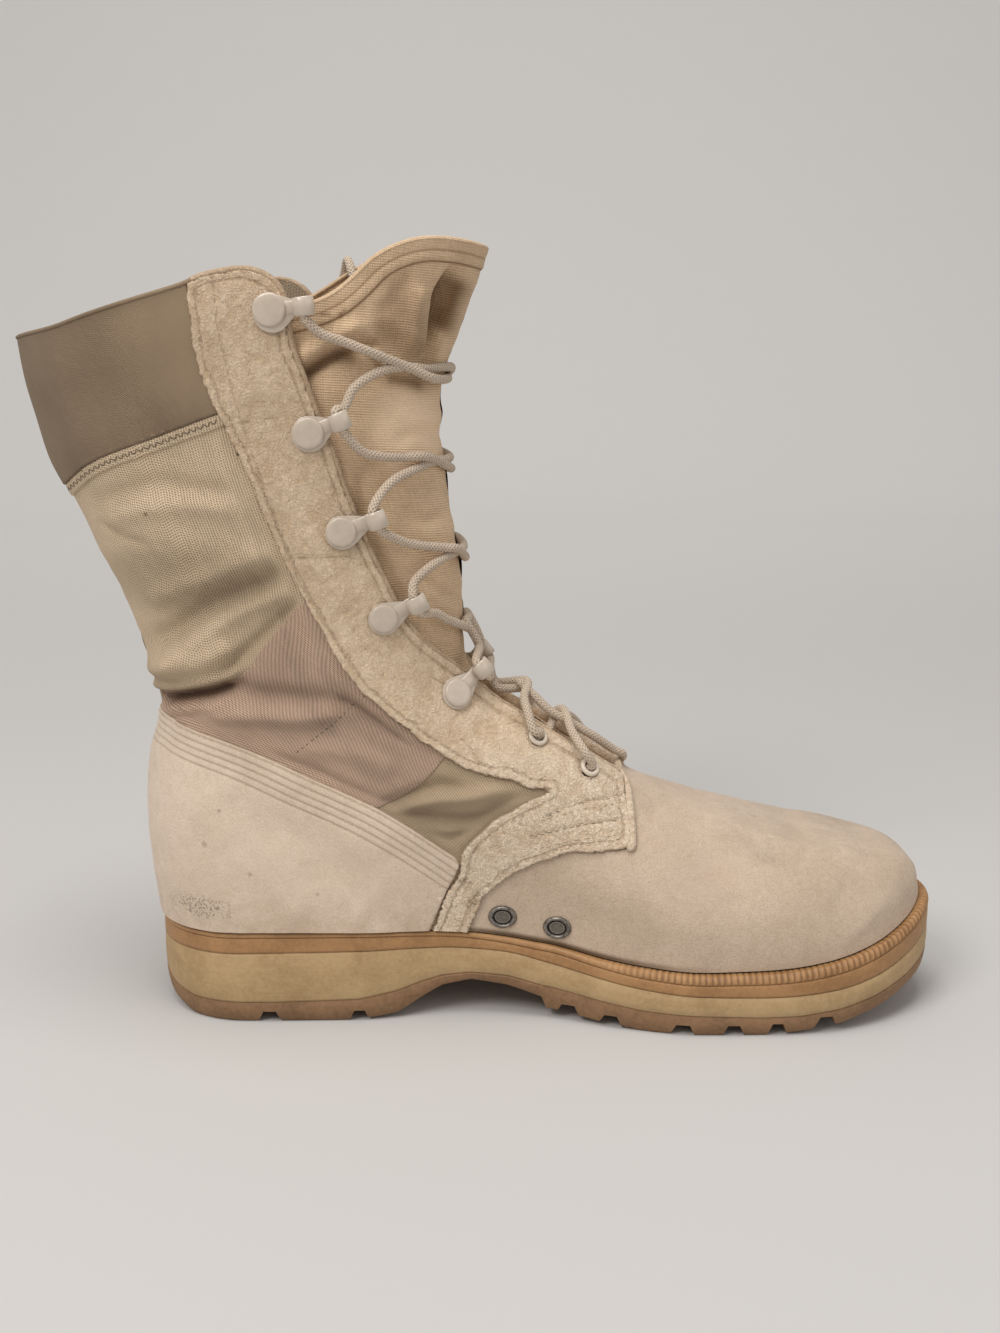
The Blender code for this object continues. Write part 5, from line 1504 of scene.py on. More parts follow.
def back_piping():
    """Wavy piped seam up the back of the canvas, from the counter to the collar band."""
    z = np.arange(0.112, 0.2, 0.0011)
    x = np.interp(z, BACK[:, 1], BACK[:, 0]) + 0.4 * MM + waver(z, z * 0, 15 * MM, 33) * 0.25 * MM
    rows = np.zeros((len(z), 6))
    rows[:, 0], rows[:, 2], rows[:, 3] = x, z, -1.0
    rows[:, 1] = waver(z, z * 0, 19 * MM, 34) * 0.5 * MM
    points, faces = swept(rows, oval(1.5 * MM, 1.6 * MM, 12))
    run = np.repeat(z, 12)
    marks = {"run": run, "climb": np.tile(np.arange(12) * 0.8 * MM, len(z))}
    piece = make_piece("back_piping", points, faces, PIPING, "collar_cloth", marks)
    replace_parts(piece, "upper")


back_piping()
tab_rolls()


# The tongue lies a wall's thickness inside the throat and stands over the collar.
def tongue_lift(x, z, side):
    crease = crease_lift(x, z, TONGUE_CREASES, side)
    return crease + waver(x, z, 18 * MM, 70 + side) * 0.3 * MM


TONGUE_CREASES = (
    (-3.6, 2.4, (122, 280), (117.6, 273.5), (114.8, 268), (113.6, 261), (112.3, 250), (109, 238)),
    (1.8, 3.2, (108, 273), (105.5, 262), (104, 248)),
    (-2.6, 2.0, (64, 240), (74, 246), (83, 250.5), (93, 252)),
    (1.6, 3.4, (64, 247), (76, 254), (88, 260)),
    (-0.9, 3.4, (92, 262), (98, 268), (103, 277)),
    (-1.1, 2.6, (100, 196), (108, 190), (116, 192)),
    (0.9, 4.0, (98, 230), (108, 226), (116, 228)),
    (-0.9, 3.0, (98, 219), (108, 222), (115, 218)),
    (-1.0, 2.6, (106, 170), (114, 163), (122, 160)),
)


def tongue():
    """Tongue cloth, outside and inside, with its stitched hem raised along the top."""
    outer, inner = [], []
    for side in (MEDIAL, LATERAL):
        x, z = PLACES[side]
        depth = outline_depth(x, z, tongue_outline(side))
        table, faces = cut_panel(side, depth, (0.0,))
        table = table.copy()
        lift = tongue_lift(table[:, 8], table[:, 9], side) - cloth_lift(table[:, 8], table[:, 9], side)
        hem = path_distance(table[:, 8], table[:, 9], HEM if side == MEDIAL else FAR_HEM)[0]
        lift += smoothstep(HEM_WIDTH - hem, 0, 0.5 * MM) * 0.8 * MM
        lift -= np.exp(-(((hem - HEM_STITCH) / (0.6 * MM)) ** 2)) * 0.35 * MM
        table[:, -1] = hem
        top = table.copy()
        top[:, :3] += top[:, 3:6] * (lift - 2.8 * MM)[:, None]
        outer.append((top, faces))
        low = table.copy()
        low[:, :3] += low[:, 3:6] * (lift - 4.5 * MM)[:, None]
        inner.append((low, faces[:, ::-1]))
    table, faces = joined(outer + inner)
    marks = {"run": table[:, 6], "climb": table[:, 9] + table[:, 8] * 0.06}
    marks.update({"hem": table[:, -1], "fold": fold_shade(table, TONGUE_SHADED)})
    return make_piece("tongue_cloth_panel", table[:, :3], faces, TONGUE_CLOTH, "tongue_cloth", marks)


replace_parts(tongue(), "tongue")


def tongue_rim():
    """Rolled hem along the tongue's top, from one hidden edge over the nose to the other."""
    halves = []
    for side in (MEDIAL, LATERAL):
        x, z = PLACES[side]
        top_line = HEM if side == MEDIAL else FAR_HEM
        table, faces = cut_panel(side, outline_depth(x, z, tongue_outline(side)), (0.0,))
        path = boundary_path(table, faces)
        path = path[path[:, 9] > np.interp(path[:, 8], top_line[:, 0], top_line[:, 1]) - 1.0 * MM]
        path = path[np.argsort(path[:, 8])]
        lift = tongue_lift(path[:, 8], path[:, 9], side) - cloth_lift(path[:, 8], path[:, 9], side)
        path[:, :3] += path[:, 3:6] * (lift - 3.3 * MM)[:, None]
        halves.append(path[:, :6])
    path = np.vstack([halves[0], halves[1][::-1][1:]])
    path = softened(evenly(path, 1.0 * MM), 3)
    path[:, 3:6] /= np.linalg.norm(path[:, 3:6], axis=1)[:, None]
    points, faces = swept(path, oval(0.95 * MM, 1.5 * MM, 12))
    marks = {"run": np.repeat(np.arange(len(path)) * 1.0 * MM, 12)}
    marks["climb"] = np.tile(np.arange(12) * 0.7 * MM, len(path))
    marks["hem"] = np.full(len(points), 1.8 * MM)
    return make_piece("tongue_hem", points, faces, TONGUE_CLOTH, "tongue_cloth", marks)


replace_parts(tongue_rim(), "tongue")


def sole_outline():
    """Edge of the welt in plan: medial then lateral, heel to toe."""
    ledge = np.array(FOOT_WIDTHS)
    share = run_share(np.linspace(0, 1, 300))
    sides = []
    for side in (MEDIAL, LATERAL):
        x = BACK[0, 0] + (FRONT[0, 0] - BACK[0, 0]) * share
        y = side * half_width(x, level(SEAT, x) + SEAT_GAP, side)
        here = np.column_stack([x, y])
        run = np.gradient(here, axis=0)
        normal = np.column_stack([-run[:, 1], run[:, 0]]) * side
        normal /= np.linalg.norm(normal, axis=1)[:, None]
        normal[0], normal[-1] = (-1, 0), (1, 0)
        reach = eased(x, ledge[:, 0] * LAST_LENGTH, ledge[:, 3] * WELT_LEDGE)
        sides.append((here, normal, reach))
    here = np.vstack([sides[0][0], sides[1][0][-2:0:-1]])
    normal = np.vstack([sides[0][1], sides[1][1][-2:0:-1]])
    reach = np.concatenate([sides[0][2], sides[1][2][-2:0:-1]])
    flat = here + normal * reach[:, None]
    rows = evenly(np.column_stack([flat, np.zeros(len(flat))]), 0.62 * MM, True)
    return rows[:, :2]


def sole_ring(inset, height):
    flat = sole_outline()
    if np.ndim(inset) or inset:
        run = np.roll(flat, -1, axis=0) - np.roll(flat, 1, axis=0)
        run /= np.linalg.norm(run, axis=1)[:, None]
        flat = flat - np.column_stack([run[:, 1], -run[:, 0]]) * np.reshape(inset, (-1, 1))
    return np.column_stack([flat, height(flat[:, 0])])


def ring_stack(name, rings, finish, slot, capped=True, marks=None):
    """A closed body from rings of one layer of the sole, from its foot up."""
    count = len(rings[0])
    faces = []
    last = len(rings) - 1 if capped else len(rings)
    for a in range(last):
        b = (a + 1) % len(rings)
        for j in range(count):
            k = (j + 1) % count
            faces.append((a * count + j, a * count + k, b * count + k, b * count + j))
    if capped:
        half = count // 2
        for base, flip in ((0, True), ((len(rings) - 1) * count, False)):
            for j in range(half - 1):
                left, right = (count - j) % count, count - j - 1
                corners = tuple(dict.fromkeys([base + j, base + j + 1, base + right, base + left]))
                faces.append(corners if flip else corners[::-1])
    piece = make_piece(name, np.vstack(rings), faces, finish, slot, marks)
    face_out(piece.data)
    return piece


def between(layer_a, layer_b, share, shift=0.0):
    return lambda x: level(layer_a, x) * (1 - share) + level(layer_b, x) * share + shift


SOLE_FLAT = sole_outline()
SOLE_RUN = np.concatenate([[0], np.cumsum(np.linalg.norm(np.diff(SOLE_FLAT, axis=0), axis=1))])


# Insets of the sole's layers in millimetres, then how far up the layer and a last shift.
WELT_SECTION = (
    (0.6, 0.0, 0.0, 0.0), (0.25, 0.0, 0.1, 0.08), (0.0, 0.0, 0.7, 0.25), (0.0, 0.35, 0.9, 0.55),
    (0.3, 0.8, 0.9, 0.88), (1.0, 1.0, 0.6, 1.0),
)
MIDSOLE_SECTION = (
    (0.45, 0.0, 0.1), (0.15, 0.05, 0), (0.1, 0.2, 0), (0.1, 0.55, 0), (0.15, 0.8, 0), (0.3, 0.93, 0),
    (0.7, 1.0, -0.1),
)
WEDGE_SECTION = (
    (0.45, 0.0, 0.1), (0.2, 0.05, 0), (0.05, 0.3, 0), (0.0, 0.6, 0), (0.2, 0.95, 0), (0.45, 1.0, -0.1),
)
TREAD_SECTION = (
    (3.2, 0.0, 0), (1.6, 0.04, 0), (0.9, 0.18, 0), (0.45, 0.5, 0), (0.2, 0.85, 0), (0.6, 1.0, -0.1),
)


def sole_layer(low, high, section):
    """Rings of one layer, from the foot of the layer up."""
    return [sole_ring(inset * MM, between(low, high, share, shift * MM)) for inset, share, shift in section]


def welt():
    """Welt: a rounded lip, pressed into fine ribs round the forefoot."""
    fore = smoothstep(SOLE_FLAT[:, 0], 0.158, 0.196)
    wave = 0.5 + 0.5 * np.sin(SOLE_RUN * 2 * math.pi / (2.35 * MM))
    groove = smoothstep(1 - wave, 0.45, 0.95) * fore
    rings = [
        sole_ring((flat + fore * ahead + groove * pressed) * MM, between(WELT, SEAT, share))
        for flat, ahead, pressed, share in WELT_SECTION
    ]
    depth = [groove * share for share in (0, 0.3, 1, 1, 1, 0.9)]
    lowered = sole_ring(3.0 * MM, between(WELT, SEAT, 1.0, -0.05 * MM))
    lowered[:, 2] -= groove * 0.3 * MM
    inner = [sole_ring(WELT_WIDTH, between(WELT, SEAT, share)) for share in (1.0, 0.02)]
    rings += [lowered, *inner]
    depth += [groove * 0.5, groove * 0, groove * 0]
    piece = ring_stack("welt_band", rings, WELT_RUBBER, "welt_rubber", False, {"rib": np.concatenate(depth)})
    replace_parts(piece, "welt")


def midsole():
    """Midsole, with a small bead at its top round the heel, and the cushion wedge under it."""
    rings = sole_layer(RUBBER, WELT, MIDSOLE_SECTION)
    bead = smoothstep(0.16 - SOLE_FLAT[:, 0], 0.0, 0.02)
    inset, share, _ = MIDSOLE_SECTION[-2]
    rings[-2] = sole_ring((inset + bead * 0.15) * MM, between(RUBBER, WELT, share))
    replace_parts(ring_stack("midsole_rubber_band", rings, MIDSOLE, "midsole_rubber"), "midsole")
    rings = sole_layer(CUSHION, RUBBER, WEDGE_SECTION)
    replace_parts(ring_stack("cushion_wedge_foam", rings, CUSHION_FOAM, "cushion_foam"), "cushion_wedge")


LUG_DEPTH, CHEVRON, HEEL_NOTCH = 4.3 * MM, 9 * MM, 20 * MM
FOREFOOT_GROOVES = ((0.546, 1.45), (0.596, 1.45), (0.682, 1.60), (0.745, 1.45), (0.800, 1.30), (0.862, 1.55))
HEEL_GROOVES = ((0.154, 1.55), (0.268, 1.30))


def groove_prism(line, width, reach):
    """A groove's cutter: wider at the floor than at its roof."""
    x = line[0][0]
    low, high = -10 * MM, float(level(TREAD, x)) + reach
    points = []
    for height, wide in ((low, width * 1.7), (high - reach * 1.0, width * 1.35), (high, width * 0.72)):
        points += [(px - wide / 2, py, height) for px, py in line]
        points += [(px + wide / 2, py, height) for px, py in reversed(line)]
    count = len(line) * 2
    faces = [tuple(range(count))[::-1], tuple(range(2 * count, 3 * count))]
    for r in range(2):
        for i in range(count):
            j = (i + 1) % count
            faces.append((r * count + i, r * count + j, r * count + count + j, r * count + count + i))
    return points, faces


def outsole():
    """Tread with lugs: rounded rings, then grooves cut out of it."""
    rings = sole_layer(TREAD, CUSHION, TREAD_SECTION)
    piece = ring_stack("outsole_tread", rings, TREAD_RUBBER, "tread_rubber")
    points, faces = [], []

    def add(line, width, reach):
        more, some = groove_prism(line, width, reach)
        faces.extend(tuple(k + len(points) for k in face) for face in some)
        points.extend(more)

    for along, width in FOREFOOT_GROOVES:
        x = along * LAST_LENGTH
        half = BALL_WIDTH * 0.6
        add([(x, -half), (x - CHEVRON, 0), (x, half)], width * LUG_DEPTH, LUG_DEPTH)
    for along, width in HEEL_GROOVES:
        x = along * LAST_LENGTH
        for hand in (-1, 1):
            inner = hand * (half_width(np.array([x]), np.array([0.04]), hand)[0] - HEEL_NOTCH)
            line = [(x, hand * 0.07), (x, inner)] if hand < 0 else [(x, inner), (x, hand * 0.07)]
            add(line, width * LUG_DEPTH, LUG_DEPTH)
    mesh = bpy.data.meshes.new("grooves")
    mesh.from_pydata(in_frame(points).tolist(), [], faces)
    face_out(mesh)
    cutter = bpy.data.objects.new("grooves", mesh)
    bpy.context.scene.collection.objects.link(cutter)
    modifier = piece.modifiers.new("grooves", "BOOLEAN")
    modifier.operation = "DIFFERENCE"
    modifier.object = cutter
    modifier.solver = "EXACT"
    bpy.context.view_layer.update()
    graph = bpy.context.evaluated_depsgraph_get()
    cut = bpy.data.meshes.new_from_object(piece.evaluated_get(graph))
    piece.modifiers.clear()
    piece.data = cut
    cut.set_sharp_from_angle(angle=math.radians(35))
    bpy.data.objects.remove(cutter, do_unlink=True)
    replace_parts(piece, "outsole")


welt()
midsole()
outsole()


# Hooks, eyelets and vents.
def turned(profile, steps):
    """A round body about Z from (radius, height) points."""
    a = np.linspace(0, 2 * math.pi, steps, endpoint=False)
    rings, starts, total = [], [], 0
    for radius, height in profile:
        starts.append(total)
        if radius <= 0:
            rings.append([(0, 0, height)])
            total += 1
        else:
            ring = [radius * np.cos(a), radius * np.sin(a), np.full(steps, height)]
            rings.append(np.column_stack(ring).tolist())
            total += steps
    faces = []
    pairs = list(zip(range(len(profile) - 1), range(1, len(profile))))
    if profile[0][0] > 0 and profile[-1][0] > 0:
        pairs.append((len(profile) - 1, 0))
    for p, q in pairs:
        m, n = len(rings[p]), len(rings[q])
        for i in range(steps):
            j = (i + 1) % steps
            corners = [starts[p] + i % m, starts[p] + j % m, starts[q] + j % n, starts[q] + i % n]
            faces.append(tuple(dict.fromkeys(corners)))
    return np.array([p for ring in rings for p in ring]), faces


def sheet_bend(path, widths, thickness):
    """A bent metal strip: a path of (x, z) with a half width at each point."""
    path = np.asarray(path, float)
    run = np.gradient(path, axis=0)
    run /= np.linalg.norm(run, axis=1)[:, None]
    side = np.column_stack([-run[:, 1], run[:, 0]])
    points = []
    for (x, z), (nx, nz), wide in zip(path, side, widths):
        t = thickness / 2
        for y, out in ((-wide, 0), (-wide + t, t), (wide - t, t), (wide, 0), (wide - t, -t), (-wide + t, -t)):
            points.append((x + nx * out, y, z + nz * out))
    faces = []
    for i in range(len(path) - 1):
        for k in range(6):
            m = (k + 1) % 6
            faces.append((i * 6 + k, i * 6 + m, i * 6 + 6 + m, i * 6 + 6 + k))
    faces.append((5, 4, 3, 2, 1, 0))
    faces.append(tuple((len(path) - 1) * 6 + k for k in range(6)))
    return np.array(points), faces


SLEEVE = (16.9 * MM, 3.05 * MM)
# Turned profiles in millimetres: radius, height. The dome's radius is a share of its cap's.
HOOK_DOME = (
    (0, 2.12), (0.35, 2.10), (0.66, 2.03), (0.82, 1.94), (0.91, 1.82), (0.965, 1.62), (0.995, 1.36),
    (1.0, 1.10), (0.985, 0.9), (0.95, 0.78),
)
EYELET_RING = (
    (2.1, -3.6), (2.1, 0.3), (2.22, 0.7), (2.55, 1.05), (3.0, 1.15), (3.5, 0.95), (3.85, 0.5),
    (3.9, -0.3), (2.6, -0.4), (2.6, -3.6),
)
VENT_RING = (
    (3.3, -1.7), (3.3, -0.1), (3.55, 0.55), (4.0, 0.85), (4.45, 0.80), (4.85, 0.45), (5.1, -0.1),
    (5.1, -0.6), (4.4, -1.8),
)
VENT_DISC = (
    (0, 0.05), (1.6, 0.02), (2.2, -0.08), (2.5, 0.10), (2.75, 0.05), (2.9, -0.3), (3.0, -1.2),
    (3.3, -1.3), (3.3, -1.7), (0, -1.7),
)


def teardrop(radius, neck, reach, height, thick):
    """Base plate: round under the cap, with straight sides in to the neck."""
    lean = math.acos((radius - neck) / reach)
    angles = np.linspace(lean, 2 * math.pi - lean, 34)
    plan = [(radius * math.cos(a), radius * math.sin(a)) for a in angles]
    plan = [(reach, neck), *plan, (reach, -neck)]
    points, faces, count = [], [], len(plan)
    for inset, z in ((0.0, 0.0), (0.0, 0.7), (0.35, 1.0)):
        for x, y in plan:
            size = max(math.hypot(x, y), 1e-9)
            points.append((x - x / size * inset, y - y / size * inset, height + z * thick))
    for r in range(2):
        for i in range(count):
            j = (i + 1) % count
            faces.append((r * count + i, r * count + j, r * count + count + j, r * count + count + i))
    faces += [tuple(range(count))[::-1], tuple(range(2 * count, 3 * count))]
    return np.array(points) * MM, faces


def hook_shape(cap, shift, slip):
    """Speed-lace hook: teardrop plate, low domed cap and a necked strip rolled into a sleeve."""
    button, rings = turned([(r * cap * MM, h * MM) for r, h in HOOK_DOME] + [(0, 0.6 * MM)], 44)
    button = button + (shift * MM, 0, 0)
    plate, sides = teardrop(cap + 0.75, 2.4, 13.2 - shift, 0.0, 0.75)
    plate[:, 0] += (shift - slip * 0.8) * MM
    plate[:, 1] += np.where(plate[:, 0] < 11 * MM, slip * 1.3, 0.0) * MM
    cx, cz = SLEEVE
    strip = [(x * MM, 0.62 * MM) for x in (8, 9, 10.5, 11.8, 13, 14.6)]
    turn = np.radians(np.linspace(-100, 205, 30))
    strip += [(cx + 3.3 * MM * math.cos(a), cz + 2.3 * MM * math.sin(a)) for a in turn]
    strip = np.array(strip)
    widths = np.interp(strip[:, 0], np.array([8, 11, 12.5, 14.6]) * MM, np.array([2.7, 2.4, 2.45, 2.75]) * MM)
    widths[6:] = np.interp(np.arange(30), (0, 8, 20, 29), np.array([2.8, 3.2, 3.15, 2.8]) * MM)
    return merged([(button, rings), (plate, sides), sheet_bend(strip, widths, 0.9 * MM)])


def placed(points, place):
    turn = np.array(place)
    return np.asarray(points) @ turn[:3, :3].T + turn[:3, 3]


def seat_matrix(share, setback, side, offset):
    """Placement on the eyestay: X forward over the throat, Z out of the surface."""
    (x, z), forward = throat_station(share, setback)
    spots, normals = skin([x, x + forward[0] * 0.004], [z, z + forward[1] * 0.004], side, offset)
    spot, ahead, normal = Vector(spots[0]), Vector(spots[1]), Vector(normals[0])
    reach = ahead - spot
    reach = (reach - normal * reach.dot(normal)).normalized()
    turn = Matrix((reach, normal.cross(reach), normal)).transposed()
    return Matrix.Translation(spot) @ turn.to_4x4()


STAY_TOP = 2.25 * MM
HOOK_CAPS = ((5.7, 4.9, 1.0), (5.5, 5.0, 0.3), (5.3, 3.8, 0.3), (5.2, 3.8, 0.3), (5.3, 3.6, 0.0))


def hooks_and_eyelets():
    for side, word in ((MEDIAL, "medial"), (LATERAL, "lateral")):
        for number, share in enumerate(HOOK_STATIONS, 1):
            cap, shift, slip = HOOK_CAPS[number - 1]
            points, faces = hook_shape(cap, shift, slip * side)
            place = seat_matrix(share, HOOK_SETBACK, side, STAY_TOP + 0.2 * MM)
            piece = make_piece(f"hook_{word}_{number}", placed(points, place), faces, ENAMEL, "hook_enamel")
            piece.data.set_sharp_from_angle(angle=math.radians(50))
            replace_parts(piece, f"speed_hook_{word}_{number}")
        for number, share in enumerate(EYELET_STATIONS, 1):
            points, faces = turned([(r * MM, h * MM) for r, h in EYELET_RING], 36)
            place = seat_matrix(share, EYELET_SETBACK, side, STAY_TOP)
            name = f"eyelet_ring_{word}_{number}"
            piece = make_piece(name, placed(points, place), faces, EYELET_ENAMEL, "hook_enamel")
            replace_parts(piece, f"eyelet_{word}_{number}")


def vent_screen(radius):
    """Woven wire disc."""
    parts = []
    pitch = 0.62 * MM
    for way in (0, 1):
        for k in range(-6, 7):
            off = k * pitch
            if abs(off) >= radius:
                continue
            half = math.sqrt(radius**2 - off**2)
            along = np.linspace(-half, half, 15)
            wave = np.cos(along * math.pi / pitch + (0 if (k + way) % 2 else math.pi)) * 0.13 * MM
            rows = np.zeros((15, 6))
            rows[:, way] = along
            rows[:, 1 - way] = off
            rows[:, 2] = wave
            rows[:, 5] = 1
            parts.append(swept(rows, oval(0.15 * MM, 0.15 * MM, 6)))
    return merged(parts)


def vents():
    """Vent eyelets: a dark rolled ring round a paler wire screen."""
    for number, (along, up) in enumerate(VENTS, 1):
        spots, normals = skin(along * LAST_LENGTH, float(rise(up)), MEDIAL, 0.6 * MM)
        turn = Vector(normals[0]).to_track_quat("Z", "Y").to_matrix().to_4x4()
        place = Matrix.Translation(Vector(spots[0])) @ turn
        parts = [turned([(r * MM, h * MM) for r, h in shape], 44) for shape in (VENT_RING, VENT_DISC)]
        screen, faces = vent_screen(2.3 * MM)
        parts.append((screen + (0, 0, 0.06 * MM), faces))
        paleness = (0.0, 1.0, 0.8)
        inner = np.concatenate([np.full(len(part[0]), share) for part, share in zip(parts, paleness)])
        points, faces = merged(parts)
        points = points * (1.08, 0.88, 1.0)
        points = placed(points, place)
        piece = make_piece(f"vent_{number}", points, faces, VENT_METAL, "vent_metal", {"inner": inner})
        piece.data.set_sharp_from_angle(angle=math.radians(50))
        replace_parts(piece, f"vent_medial_{number}")


hooks_and_eyelets()
vents()

# Lace: side-view places in millimetres of each strand's halves, with their lift off the upper.
LACE_RADIUS, LACE_SIDES = 1.7 * MM, 14
DOWN_HALVES = {
    1: ((72.5, 256.5, 5.0), (79, 254, 3.6), (89, 250, 2.2), (102, 244.5, 1.2), (109, 241, 2.2)),
    2: ((84, 216.3, 4.6), (90, 214.2, 3.0), (98, 213.2, 1.2), (107, 212.8, 1.6)),
    3: ((97, 184, 4.4), (103, 181.8, 2.6), (111, 180, 1.4), (116, 178.5, 1.8)),
    4: ((108, 157, 4.2), (113, 153.5, 2.4), (119, 149.5, 1.4)),
    5: ((134, 126.5, 3.4), (139, 122.5, 1.6)),
}
UP_HALVES = {
    1: ((79, 231.5, 5.2), (82.5, 238, 3.8), (90, 243, 2.2), (99, 245, 0.4), (108, 243.8, -0.9)),
    2: ((90.5, 201.5, 5.0), (95.5, 206, 3.4), (102.5, 208.6, 1.4), (109, 210.6, -0.8)),
    3: ((101, 169, 5.0), (105.5, 173, 3.2), (112, 175.8, 0.8), (116.5, 177, -0.8)),
    4: ((124, 139.5, 4.4), (121.5, 145, 2.4), (121, 150, 0.2)),
}
# Places in the shoe: along, out to the side, up.
INTO_FIRST_EYELET = ((143.2, 9.5, 121.0), (144.6, 16.0, 116.6), (146.6, 20.5, 110.8))
OUT_OF_SECOND_EYELET = ((165.8, 19.5, 102.6), (161.5, 12.5, 108.2))
ALONG_INSTEP = (
    (140.5, -3.0, 126.5), (147.4, -5.0, 120.2), (153.3, -6.0, 114.8), (161.9, -4.5, 109.4),
    (170.6, -1.5, 103.4), (178.0, 2.5, 97.4),
)
OVER_FAR_HEM = (
    (70, 273, 4.4), (72.5, 280, 2.4), (74.6, 284.6, -2.2), (77.5, 279, -7.0), (80.5, 271, -7.6),
    (83, 262, -8.0),
)


def tube(path, radius, steps):
    """A round cord along a path, with its length and its turn kept for the braid."""
    path = evenly(smooth_path(path, len(path) * 14), 0.55 * MM)
    run = np.gradient(path, axis=0)
    run /= np.linalg.norm(run, axis=1)[:, None]
    up = np.cross(run[0], (0.0, 0.0, 1.0))
    up /= np.linalg.norm(up)
    rings, along, turn = [], [], []
    total = 0
    for i in range(len(path)):
        up = up - run[i] * up.dot(run[i])
        up /= np.linalg.norm(up)
        aside = np.cross(run[i], up)
        if i:
            total += np.linalg.norm(path[i] - path[i - 1])
        shrink = min(1.0, 0.55 + 0.15 * min(i, len(path) - 1 - i))
        for k in range(steps):
            a = 2 * math.pi * k / steps
            rings.append(path[i] + (up * math.cos(a) + aside * math.sin(a)) * radius * shrink)
            along.append(total)
            turn.append(abs(2 * k / steps - 1) * 5.6)
    faces = []
    for i in range(len(path) - 1):
        for k in range(steps):
            m = (k + 1) % steps
            a, b, c, d = i * steps + k, i * steps + m, (i + 1) * steps + m, (i + 1) * steps + k
            faces += [(a, b, c), (a, c, d)]
    last = (len(path) - 1) * steps
    for k in range(1, steps - 1):
        faces += [(0, k + 1, k), (last, last + k, last + k + 1)]
    return np.array(rings), np.array(faces), np.array(along), np.array(turn)


def lifted(spots, side):
    out = []
    for x, z, lift in spots:
        x = min(x * MM, float(np.interp(z * MM, FRONT[:, 1], FRONT[:, 0])) - 0.8 * MM)
        out.append(skin(x, z * MM, side, lift * MM)[0][0])
    return out


def nose(z, lift):
    return np.array([float(np.interp(z * MM, FRONT[:, 1], FRONT[:, 0])) + lift * MM, 0.0, z * MM])


def sleeve_exits(number, side):
    """Middle of a hook's sleeve and the places just outside its lower and upper ends."""
    place = seat_matrix(HOOK_STATIONS[number - 1], HOOK_SETBACK, side, STAY_TOP + 0.2 * MM)
    spots = placed([(SLEEVE[0], y * MM, SLEEVE[1]) for y in (-3.9, 0, 3.9)], place)
    low, high = (spots[0], spots[2]) if spots[0][2] < spots[2][2] else (spots[2], spots[0])
    return spots[1], low, high


def eyelet_exit(number, side):
    """Under an eyelet, in its hole and just over its rim."""
    place = seat_matrix(EYELET_STATIONS[number - 1], EYELET_SETBACK, side, STAY_TOP)
    return list(placed([(-0.4 * MM, 0, -3.6 * MM), (0, 0, -0.8 * MM), (0.9 * MM, 0, 1.6 * MM)], place))


def lace():
    """The lace through hooks and eyelets, its ends put away inside the top hooks."""
    strands = []
    for number in (1, 2, 3, 4):
        for side in (MEDIAL, LATERAL):
            middle, low, _ = sleeve_exits(number, side)
            first = [middle, low, *lifted(DOWN_HALVES[number], side)]
            middle, _, high = sleeve_exits(number + 1, -side)
            shift = -2.6 if side == MEDIAL else 0.0
            begin = UP_HALVES[number][0][0]
            spots = [(x, z + shift * min(1, (x - begin) / 8), lift) for x, z, lift in UP_HALVES[number]]
            second = [middle, high, *lifted(spots, -side)]
            z = UP_HALVES[number][-1][1] - 1.2
            out = -1.4 if number == 1 else -0.5
            crown = nose(z - 2.2, out) if side == MEDIAL else nose(z + 1.8, out)
            strands.append([*first, crown, *second[::-1]])
    for side in (MEDIAL, LATERAL):
        middle, low, _ = sleeve_exits(5, side)
        first = [middle, low, *lifted(DOWN_HALVES[5], side)]
        over = 0.0 if side == MEDIAL else 3.4
        crown = np.array((142.5 + over * 0.5, 0, 122.5 + over * 0.8)) * MM
        rest = [np.array((x, -side * y, z)) * MM for x, y, z in INTO_FIRST_EYELET]
        strands.append([*first, crown, *rest, *eyelet_exit(1, -side)[::-1]])
        start = eyelet_exit(2, side)
        over = 3.4 if side == MEDIAL else 0.0
        rest = [np.array((x, side * y, z)) * MM for x, y, z in OUT_OF_SECOND_EYELET]
        crown = np.array((156 + over * 0.6, 0, 111.6 + over * 0.7)) * MM
        tuck = lifted(((151, 105.5, -1.8), (148, 101, -3.8), (143, 98, -5.0)), -side)
        strands.append([*start, *rest, crown, *tuck])
    bundle = [np.array(spot) * MM for spot in ALONG_INSTEP]
    bundle += lifted(((183.5, 91.5, 3.2), (180.5, 87, 1.0)), LATERAL)
    strands.append(bundle)
    far_end = [sleeve_exits(1, LATERAL)[0], sleeve_exits(1, LATERAL)[2]]
    strands.append([*far_end, *lifted(OVER_FAR_HEM, LATERAL)])
    pieces = [tube(np.array(path), LACE_RADIUS, LACE_SIDES) for path in strands]
    table = np.vstack([p[0] for p in pieces])
    starts = np.cumsum([0] + [len(p[0]) for p in pieces])
    faces = np.vstack([p[1] + s for p, s in zip(pieces, starts)])
    marks = {"along": np.concatenate([p[2] for p in pieces]), "turn": np.concatenate([p[3] for p in pieces])}
    piece = make_piece("threaded_lace", table, faces, LACE, "lace_cord", marks)
    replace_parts(piece, *[f"lace_crossing_{n}" for n in range(1, 7)])


lace()

insole = bpy.data.objects.get("insole")
if insole:
    insole.material_slots[0].material = INSOLE_FELT


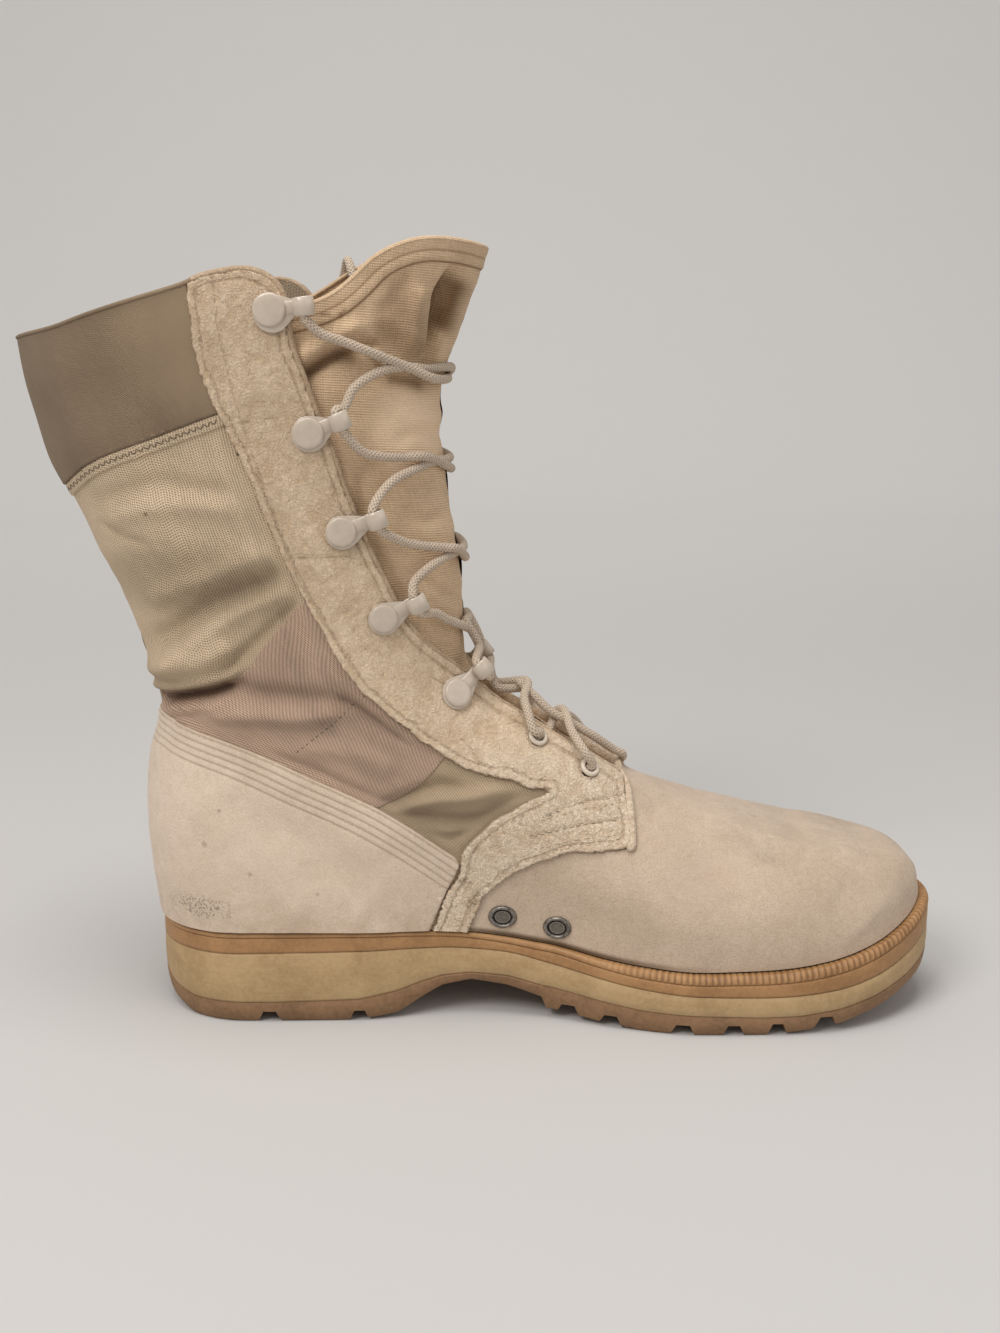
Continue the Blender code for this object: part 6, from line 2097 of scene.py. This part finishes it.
# Stage, light and camera.
def studio():
    """Pale floor that sweeps up into a pale wall, painted paler further back as painted light; soft light
    from above and both sides.
    """
    f = Finish("studio_floor")
    # Painted light: darker on the floor near the boot, paler further back and up the wall, as the lamps'
    # light falls off.
    tone = f.mix(f.ramp(f.axis(1), 0.3, 1.8), (0.560, 0.547, 0.535), (0.86, 0.845, 0.83))
    f.finish(tone, 0.85, Specular_IOR_Level=0.15)
    profile = [(-3.0, 0.0), (1.6, 0.0)]
    profile += [(1.6 + 0.9 * math.sin(a), 0.9 - 0.9 * math.cos(a)) for a in np.radians(np.arange(9, 91, 9))]
    profile += [(2.5, 4.0)]
    points = [(x, y, z) for x in (-4.0, 4.0) for y, z in profile]
    n = len(profile)
    faces = [(i, n + i, n + i + 1, i + 1) for i in range(n - 1)]
    mesh = bpy.data.meshes.new("studio_sweep")
    mesh.from_pydata(points, [], faces)
    mesh.materials.append(f.material)
    mesh.shade_smooth()
    sweep = bpy.data.objects.new("studio_sweep", mesh)
    bpy.context.scene.collection.objects.link(sweep)
    world = bpy.data.worlds.new("soft_light")
    world.use_nodes = True
    world.node_tree.nodes["Background"].inputs[0].default_value = (1.0, 0.985, 0.96, 1)
    world.node_tree.nodes["Background"].inputs[1].default_value = 0.46
    bpy.context.scene.world = world
    for name, power, size, spot, aim, tone in (
        ("key", 15.5, 0.75, (-0.75, -1.05, 1.45), (0.05, 0, 0.12), (1.0, 0.975, 0.94)),
        ("top", 13, 0.8, (0.0, -0.25, 1.8), (0.08, 0, 0.1), (1.0, 0.985, 0.96)),
        ("fill", 3, 1.2, (1.3, -0.9, 0.8), (0.08, 0, 0.1), (1.0, 0.99, 0.98)),
    ):
        light = bpy.data.lights.new(name, "AREA")
        light.energy = power
        light.size = size
        light.color = tone
        lamp = bpy.data.objects.new(name, light)
        lamp.location = spot
        lamp.rotation_euler = (Vector(aim) - Vector(spot)).to_track_quat("-Z", "Y").to_euler()
        bpy.context.scene.collection.objects.link(lamp)


studio()
bpy.context.scene.view_settings.view_transform = "Standard"
lens = bpy.data.cameras.new("photo_view")
lens.lens = 39.37
lens.sensor_width = 36
lens.sensor_fit = "AUTO"
lens.clip_start = 0.01
camera = bpy.data.objects.new("photo_view", lens)
camera.location = (0.070, -0.551, 0.252)
camera.rotation_euler = (math.radians(77.6), 0, 0)
bpy.context.scene.collection.objects.link(camera)
bpy.context.scene.camera = camera
